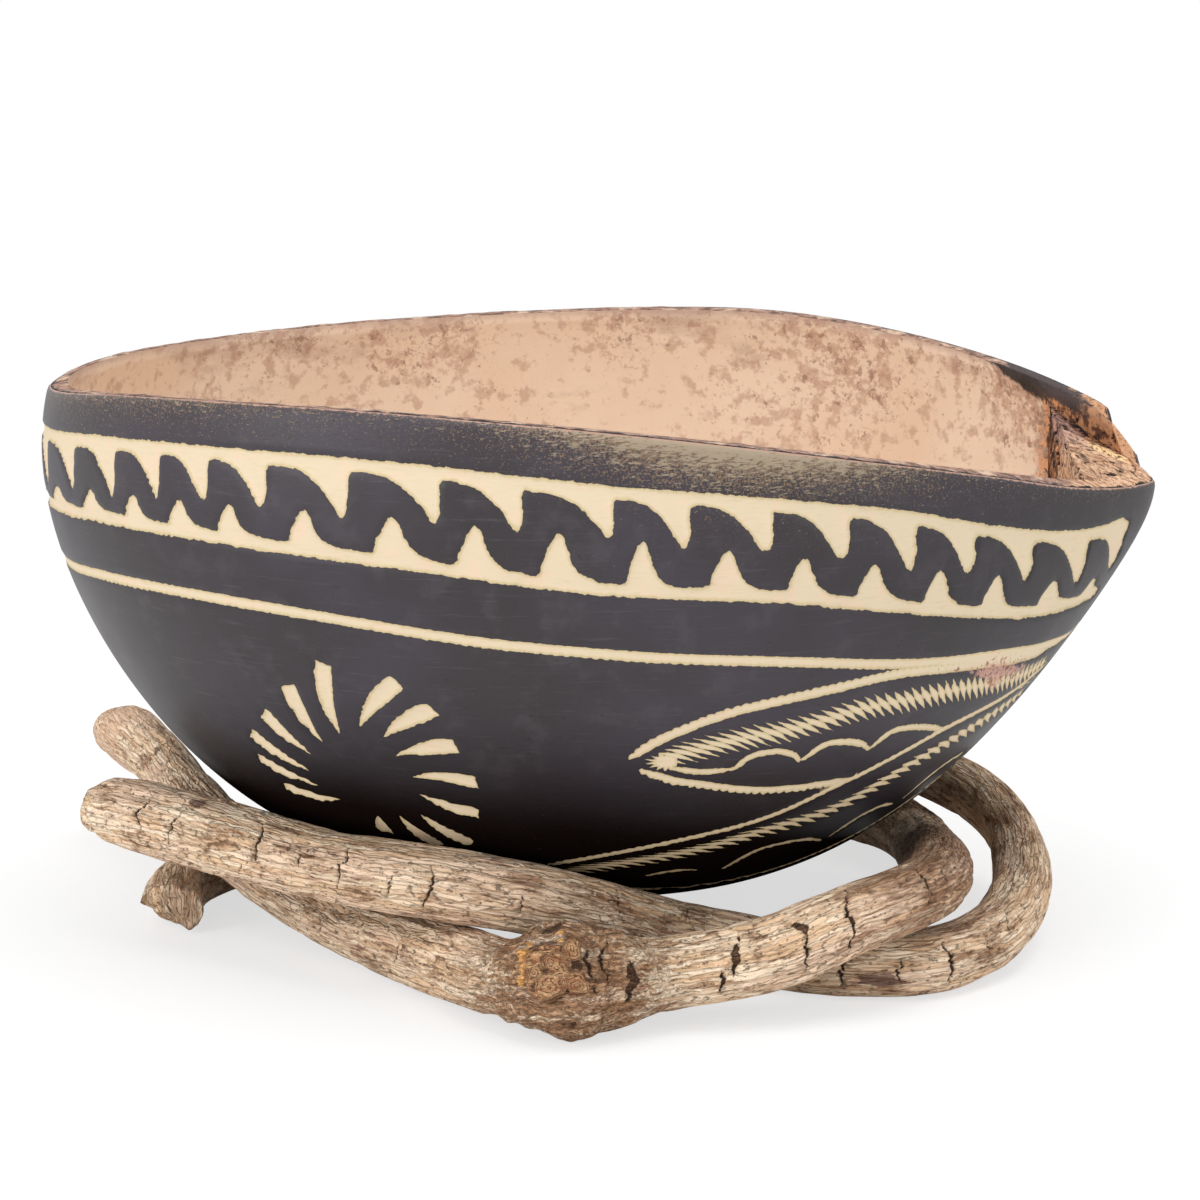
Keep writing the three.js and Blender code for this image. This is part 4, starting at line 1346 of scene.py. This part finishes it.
def makeBarkMaterial():
    material, tree = newMaterial("dry vine bark", barkColours["tan"])
    place = surfaceVector(tree, "barkPlace")
    fibres = woodGrain(place, 0.95, 2.2)[0]
    flakeTone, flakeEdge = barkFlakes(place, 8.0, 0.95)
    sliverTone = barkFlakes(place, 3.4, 0.42)[0]
    age, inBurl = surfaceValue(tree, "age"), surfaceValue(tree, "burl")
    wide = noise(stretched(place, (0.3, 1.0, 1.0)), 0.13, 3.0)
    patchy = noise(stretched(place, (0.45, 1.0, 1.0)), 0.3, 5.0, 0.65)
    scrap = noise(stretched(place, (0.5, 1.0, 1.0)), 0.95, 4.0, 0.65)
    uneven = scrap - 0.5
    specks = speckle(stretched(place, (0.6, 1.0, 1.0)), 1.3, 0.43)
    mould = (age - 0.4) * remap(scrap, 0.42, 0.58, 0.0, 1.3)
    onBurl = inBurl + (uneven + (patchy - 0.5) * 1.6) * 1.8
    grit = speckle(place, 1.6, 0.62) * inBurl

    # rosettes of the burl: uneven rings round each centre
    roseX, roseY, nearRose = axesOf(surfaceVector(tree, "rosette"))
    wobble = noise(place, 0.42, 4.0, 0.6) - 0.5
    reach = calc("SQRT", roseX * roseX + roseY * roseY) + wobble * 1.5
    rings = calc("SINE", reach * 19.0)
    rose = paintOver(
        barkColours, barkMix(remap(scrap, 0.35, 0.6), "petal", "rosette"),
        (remap(rings, 0.7, 0.99), "rosetteDark"),
        (remap(reach, 0.8, 0.98, 0.0, 0.95), "rosetteDark"))
    inRose = remap(reach, 1.2, 0.98) * nearRose

    # cracks: dark at the edges, and wide ones show hatched wood inside
    gap = surfaceValue(tree, "crackGap") + (noise(place, 1.7, 3.0) - 0.5) * 0.42
    crack = remap(gap, 0.04, -0.14, 0.0, 0.95)
    hatch = noise(stretched(place, (0.5, 2.2, 2.2)), 1.6, 2.0)
    wideCrack = barkMix(remap(hatch, 0.4, 0.6), "crack", "hatch")
    crackColour = mixColour(remap(gap, -0.2, -0.36), barkColours["crack"], wideCrack)

    base = paintOver(
        barkColours, barkMix(remap(flakeTone, 0.1, 0.8), "tan", "pale"),
        (remap(wide, 0.47, 0.62, 0.0, 0.75), "pink"),
        (remap(sliverTone, 0.6, 0.95, 0.0, 0.6), "dull"),
        (remap(flakeEdge, 0.08, 0.0) * remap(patchy, 0.4, 0.6) * 0.6, "brown"),
        (remap(fibres, 0.45, 0.34) * 0.7, "brown"),
        (remap(fibres, 0.37, 0.3) * remap(scrap, 0.4, 0.55) * 0.85, "dark"),
        (remap(patchy + age * 0.2, 0.56, 0.68, 0.0, 0.6), "brown"),
        (remap(patchy, 0.52, 0.62) * remap(scrap, 0.5, 0.6) * 0.6, "dark"),
        (calc("MAXIMUM", mould, 0.0), "dark"),
        (age * 0.3, "brown"),
        (specks * 0.65, "dark"),
        (remap(onBurl, 0.45, 1.15, 0.0, 0.85), "burl"),
        (remap(onBurl, 0.7, 1.1) * remap(fibres, 0.47, 0.38) * 0.6, "dark"),
        (grit * 0.5, "dark"),
        (surfaceValue(tree, "stripped") * 0.55, "stripped"),
        (remap(surfaceValue(tree, "patch") + uneven * 1.8, 0.4, 0.6, 0.0, 0.85), "stainedPatch"),
        (remap(surfaceValue(tree, "orange") + uneven * 3.0, 0.5, 0.8), "orange"),
        (inRose, rose),
        (remap(surfaceValue(tree, "hollow") + wobble * 3.0, 0.5, 0.85, 0.0, 0.9), "dark"),
        (crack, crackColour))
    height = fibres + remap(flakeEdge, 0.0, 0.16) * 0.5 + sliverTone * 0.3 - specks * 0.5
    height = height - rings * inRose * 0.5 - grit * 0.6 - crack
    return finishMaterial(material, base, height, 1.0, 0.6 * mm, 0.85)


def crackField(runGrid, turnGrid, radius, cracks, seed):
    # signed distance to the cracks on the unrolled stem, below zero inside one
    gap = np.full(runGrid.shape, 3.0)
    random = np.random.default_rng(seed)
    for places, half in cracks:
        line = np.array(places) * [1, radians(1)]
        close = np.where(np.abs(runGrid[:, 0] - line[:, 0].mean()) < np.ptp(line[:, 0]) / 2 + 3)[0]
        reach = np.ptp(line[:, 1])
        middle = line[:, 1].mean()
        turn = aroundZero(turnGrid[close] - middle)
        order = np.argsort(line[:, 1])
        centre = np.interp(turn + middle, line[order, 1], line[order, 0])
        flat = np.stack([runGrid[close] * 0, turn * radius[close, None], turn * 0], -1)
        zigzag = 0.55 * unevenness(flat + 40 * random.uniform(), 1.5, seed + 1)
        zigzag = zigzag + 0.35 * unevenness(flat, 0.6, seed + 2)
        taper = np.clip(1 - (2 * np.abs(turn) / reach) ** 2, 0, 1) ** 0.5
        past = np.clip(np.abs(turn) - reach / 2, 0, 9) * radius[close, None]
        width = half * taper * (1 + 0.4 * unevenness(flat, 2.3, seed + 3))
        away = np.abs(runGrid[close] - centre - zigzag) - width
        gap[close] = np.minimum(gap[close], away + past + 0.1 * (taper == 0))
    return gap


stubCut = {"through": [-80.6, -15.0, 4.4], "normal": [-0.6, 0.0, -0.8], "reach": 16.0}


def softSpot(distance, size):
    return smoothStep(1.15, 0.75, distance / size)


def makeStem(name, node, route, marks, material, seed):
    sides = vine["sides"]
    lowest, highest = (np.array(corner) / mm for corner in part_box(node))
    path = stemPath(route)
    keep = np.zeros(len(path[0]), bool)
    keep[::vine["ringStep"]] = True
    keep[-1] = True
    for places, _ in marks["cracks"]:
        reach = [run for run, _ in places]
        keep |= (path[0] > min(reach) - vine["crackMargin"]) & (path[0] < max(reach) + vine["crackMargin"])
    isInner = node == "vine_inner"
    if isInner:
        keep[::2] |= ((path[0] > burl["fineRuns"][0]) & (path[0] < burl["fineRuns"][1]))[::2]
    runs, centre, radius, tangent, side = (values[keep] for values in path)
    across = np.cross(tangent, side)
    turns = 2 * pi * np.arange(sides) / sides
    runGrid, turnGrid = np.meshgrid(runs, turns, indexing="ij")
    unrolled = np.stack([
        runGrid, radius[:, None] * np.cos(turnGrid), radius[:, None] * np.sin(turnGrid)], -1)
    straight = unrolled + [0, 40 * seed, 0]

    # lumps, long grooves and fibres of the bark
    unevenRun = runGrid + 2 * unevenness(straight, 4, seed + 9)
    stripped = smoothStep(marks["stripped"] + 2, marks["stripped"] - 4, unevenRun)
    def relief(kind, number, sharpness=0):
        height, size = vine["relief"][kind]
        level = unevenness(straight, size, seed + number)
        return height * ((1 - np.abs(level)) ** sharpness if sharpness else level)

    bark = -relief("grooves", 1, 4) - relief("fibres", 2, 3) + relief("grain", 3)
    swell = relief("lumps", 0) + bark * (1 - 0.8 * stripped) - vine["trim"]
    swell = swell - 0.8 * hill(runGrid, 0, 7) * (marks["stripped"] > 0)
    for run, turn, halfLength, halfWidth, height in marks["lumps"]:
        away = aroundZero(turnGrid - radians(turn)) * radius[:, None]
        swell = swell + height * np.exp(-((runGrid - run) / halfLength) ** 2 - (away / halfWidth) ** 2)

    crackGap = crackField(runGrid, turnGrid, radius, marks["cracks"], seed + 4)
    swell = swell - 0.8 * smoothStep(0.12, -0.3, crackGap)
    patch = np.zeros(runGrid.shape)
    for run, turn, halfLength, halfWidth in marks["patches"]:
        away = aroundZero(turnGrid - radians(turn)) * radius[:, None]
        far = np.hypot((runGrid - run) / halfLength, away / halfWidth)
        patch = np.maximum(patch, smoothStep(1.6, 0.4, far))

    # the burl is placed by what its near face shows
    def aroundCentre(reach):
        points = centre[:, None] + side[:, None] * (reach * np.cos(turnGrid))[..., None]
        return points + across[:, None] * (reach * np.sin(turnGrid))[..., None]

    surface = aroundCentre(radius[:, None])
    x, y, z = np.moveaxis(surface - [gourdMiddle[0], 0, 0], -1, 0)
    rosette = np.tile(nowhere, runGrid.shape + (1,))
    orange, hollow, inBurl = np.zeros((3,) + runGrid.shape)
    if isInner:
        near = (y < burl["nearSide"]) & (runGrid > burl["runs"][0]) & (runGrid < burl["runs"][1])
        rise, fall = burl["swell"]
        inBurl = smoothStep(*rise, runGrid) * smoothStep(*fall, runGrid)
        knots = 0.9 * unevenness(surface, 4.6, 71) + 0.45 * unevenness(surface, 1.8, 72)
        swell = swell + inBurl * (knots - 0.35)
        ox, oz, wide, tall = burl["oval"]
        ovalReach = np.hypot((x - ox) / wide, (z - oz) / tall)
        swell = swell + near * (0.5 * smoothStep(1.1, 0.8, ovalReach) - 0.5 * hill(ovalReach, 1.08, 0.09))
        hollow = np.maximum(hollow, near * hill(ovalReach, 1.06, 0.08) * 0.8)
        shape = np.stack([(x - ox) / wide, (z - oz) / tall, softSpot(ovalReach, 1.1) * near], -1)
        rosette = np.where((near & (ovalReach < 1.6))[..., None], shape, rosette)
        best = np.full(runGrid.shape, 9.0)
        for cx, cz, size, height in burl["rosettes"]:
            far = np.hypot(x - cx, z - cz) / size
            swell = swell + near * height * smoothStep(1.15, 0.55, far) * (0.75 + 0.25 * np.cos(14 * far))
            better = near & (far < best) & (far < 1.12)
            best = np.where(better, far, best)
            local = np.stack([(x - cx) / size, (z - cz) / size, np.ones_like(far)], -1)
            rosette = np.where(better[..., None], local, rosette)
        for cx, cz, size, depth in burl["hollows"]:
            spot = near * softSpot(np.hypot(x - cx, (z - cz) * (1 if size < 2 else 2.2)), size)
            swell = swell - depth * 0.8 * spot
            hollow = np.maximum(hollow, spot * 0.85)
        for cx, cz, size in burl["orange"]:
            orange = np.maximum(orange, near * smoothStep(1.5, 0.4, np.hypot(x - cx, (z - cz) * 0.7) / size))

    reachOut = radius[:, None] + swell
    points = aroundCentre(reachOut)

    # slanted cuts at the ends
    for which, direction, (up, over) in ((0, 1, marks["cuts"][0]), (-1, -1, marks["cuts"][1])):
        lean = np.hypot(up, over)
        reach = 3.4 * lean * radius[which]
        weight = np.clip(1 - np.abs(runs - runs[which]) / reach, 0, 1)[:, None]
        short = lean * reachOut - reachOut * (up * np.cos(turnGrid) + over * np.sin(turnGrid))
        points = points + direction * tangent[which] * (weight * short)[..., None]

    if isInner:
        # the stub's end was cut away from below
        corner, slope = np.array(stubCut["through"]) + [gourdMiddle[0], 0, 0], np.array(stubCut["normal"])
        nearEnd = smoothStep(stubCut["reach"], 0, runs[-1] - runs)[:, None]
        beyond = np.maximum((points - corner) @ slope, 0) * nearEnd
        points = points - beyond[..., None] * slope

    # the ends: rings that close in on a slightly rough cut face
    shrink = np.array(vine["endRings"])
    endTurns = np.broadcast_to(turns, (len(shrink), sides))

    def endRings(which, direction):
        middle = points[which].mean(axis=0)
        rings = middle + (points[which] - middle) * shrink[:, None, None]
        rough = 1.2 * unevenness(rings, (3.4, 3.4, 2.4), seed + 5) + 0.6 * unevenness(rings, 1.2, seed + 6)
        bulge = 0.45 * (1 - shrink[:, None] ** 2) + rough * smoothStep(1.0, 0.9, shrink[:, None])
        return rings + direction * tangent[which] * bulge[..., None]

    def endPlaces(which):
        # the cut face carries its own fibres
        flat = shrink[:, None] * radius[which]
        apart = np.full_like(endTurns, 17.0 * (seed + which))
        return np.stack([flat * np.cos(endTurns), flat * np.sin(endTurns), apart], -1)

    startRings, endRingSet = endRings(0, -1)[::-1], endRings(-1, 1)
    grid = np.concatenate([startRings, points, endRingSet])
    place = np.concatenate([endPlaces(0)[::-1], unrolled, endPlaces(-1)])

    numbers = np.arange(len(grid) * sides).reshape(-1, sides)
    flat = np.vstack([grid.reshape(-1, 3), grid[0].mean(axis=0), grid[-1].mean(axis=0)])
    flat = np.clip(flat, lowest + [0.05, 0.05, 0], highest - 0.05)
    startPole, endPole = len(flat) - 2, len(flat) - 1
    faces = flipped(bridge(numbers) + closeRing(numbers[-1], endPole)) + closeRing(numbers[0], startPole)

    # what the material reads, with one value for all of each cut face
    def withPoles(values):
        values = values.reshape(numbers.size, -1)
        return np.vstack([values, values[:1], values[-1:]]).squeeze()

    def padded(values, atStart, atEnd):
        head, tail = (np.broadcast_to(value, (len(shrink),) + values.shape[1:]) for value in (atStart, atEnd))
        return withPoles(np.concatenate([head, values, tail]))

    age = np.repeat(curveThrough(marks["age"])(runs / runs[-1])[:, None], sides, axis=1)
    values = {
        "crackGap": padded(crackGap, 3.0, 3.0),
        "age": padded(age, 0.3, 0.3),
        "stripped": padded(stripped, 0.7 * (marks["stripped"] > 0), 0.0),
        "patch": padded(patch, 0.0, 0.0),
        "burl": padded(inBurl, 0.0, 0.0),
        "orange": padded(orange, 0.0, 0.0),
        "hollow": padded(hollow, 0.0, 0.0),
    }
    vectors = {"barkPlace": withPoles(place), "rosette": padded(rosette, nowhere, nowhere)}
    stem = makePiece(name, flat, faces, [material], values=values, vectors=vectors)
    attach(stem, "vine_foot")
    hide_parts(node)


# Camera, lights and floor

view = {
    "lens": 115.5,
    "lookAt": (1.3, 0.0, 60.0),
    "elevation": radians(12),
    "distance": 700.0,
}


def makeCamera():
    back = Vector((0, -cos(view["elevation"]), sin(view["elevation"])))
    lens = bpy.data.cameras.new("camera")
    lens.lens = view["lens"]
    lens.sensor_width = 36
    lens.clip_start = 0.01
    camera = addObject("camera", lens)
    camera.location = Vector(view["lookAt"]) * mm + back * view["distance"] * mm
    camera.rotation_euler = (-back).to_track_quat("-Z", "Y").to_euler()
    bpy.context.scene.camera = camera


studio = {
    "floorSize": 6.0,
    "floorDrop": 0.0002,  # keeps the floor clear of the stems
    "floorColour": srgb(250, 250, 250),
    "whiteness": [0.66, 1.0],  # how far the floor is lifted to white, near the bowl and far from it
    "whiteFrom": [0.12, 0.42],  # metres from the middle
    "worldLevel": 0.5,
    "lightTarget": (0, 0, 0.05),
    "lights": [  # name, place, width and height, power
        ("top softbox", (0.1, -0.1, 1.1), (1.2, 1.0), 11.0),
        ("left softbox", (-1.0, -0.8, 0.6), (0.9, 0.9), 9.4),
        ("right softbox", (1.0, -0.7, 0.5), (0.8, 0.8), 3.3),
    ],
}


def makeLight(name, place, size, power):
    lamp = bpy.data.lights.new(name, "AREA")
    lamp.shape = "RECTANGLE"
    lamp.size, lamp.size_y = size
    lamp.energy = power
    light = addObject(name, lamp)
    light.location = place
    light.rotation_euler = (Vector(studio["lightTarget"]) - Vector(place)).to_track_quat("-Z", "Y").to_euler()


def seenDirectly(tree):
    # 1 for the camera's rays and for what shows in gloss or through glass
    camera, glossy, through = (newNode(tree, "ShaderNodeLightPath", None, "Is " + kind + " Ray")
                               for kind in ("Camera", "Glossy", "Transmission"))
    return calc("MAXIMUM", calc("MAXIMUM", camera, glossy), through)


def makeFloorMaterial():
    # a matt floor that is lifted to white where it is seen, so that only a soft shadow stays
    material, tree = newMaterial("studio floor", studio["floorColour"])
    shader = tree.nodes["Principled BSDF"]
    matt = {"Base Color": studio["floorColour"], "Roughness": 0.9, "Specular IOR Level": 0.0}
    setInputs(tree, shader, matt)
    place = newNode(tree, "ShaderNodeTexCoord", None, "Object")
    away = newNode(tree, "ShaderNodeVectorMath", {0: place}, "Value", operation="LENGTH")
    lift = remap(away, *studio["whiteFrom"], *studio["whiteness"])
    white = newNode(tree, "ShaderNodeEmission", {"Color": (1, 1, 1, 1), "Strength": 1.0})
    both = newNode(tree, "ShaderNodeMixShader", {
        0: seenDirectly(tree) * lift, 1: nodeValue(tree, shader.outputs[0]), 2: white})
    setInputs(tree, tree.nodes["Material Output"], {"Surface": both})
    return material


def makeStudio():
    half = studio["floorSize"] / 2
    mesh = bpy.data.meshes.new("floor")
    corners = [(-half, -half, 0), (half, -half, 0), (half, half, 0), (-half, half, 0)]
    mesh.from_pydata(corners, [], [(0, 1, 2, 3)])
    mesh.materials.append(makeFloorMaterial())
    floor = addObject("floor", mesh)
    floor.location.z = -studio["floorDrop"]

    world = bpy.data.worlds.new("studio")
    bpy.context.scene.world = world
    world.use_nodes = True
    tree = world.node_tree
    level = remap(seenDirectly(tree), 0.0, 1.0, studio["worldLevel"], 1.0)
    setInputs(tree, tree.nodes["Background"], {"Color": (1, 1, 1, 1), "Strength": level})
    for light in studio["lights"]:
        makeLight(*light)
    bpy.context.scene.view_settings.view_transform = "Standard"
    print("studio made")


makeCamera()
makeStudio()
makeShell()
makeStemBlock()
bark = makeBarkMaterial()
makeStem("inner_stem", "vine_inner", innerRoute, innerMarks, bark, 21)
makeStem("outer_stem", "vine_outer", outerRoute, outerMarks, bark, 31)
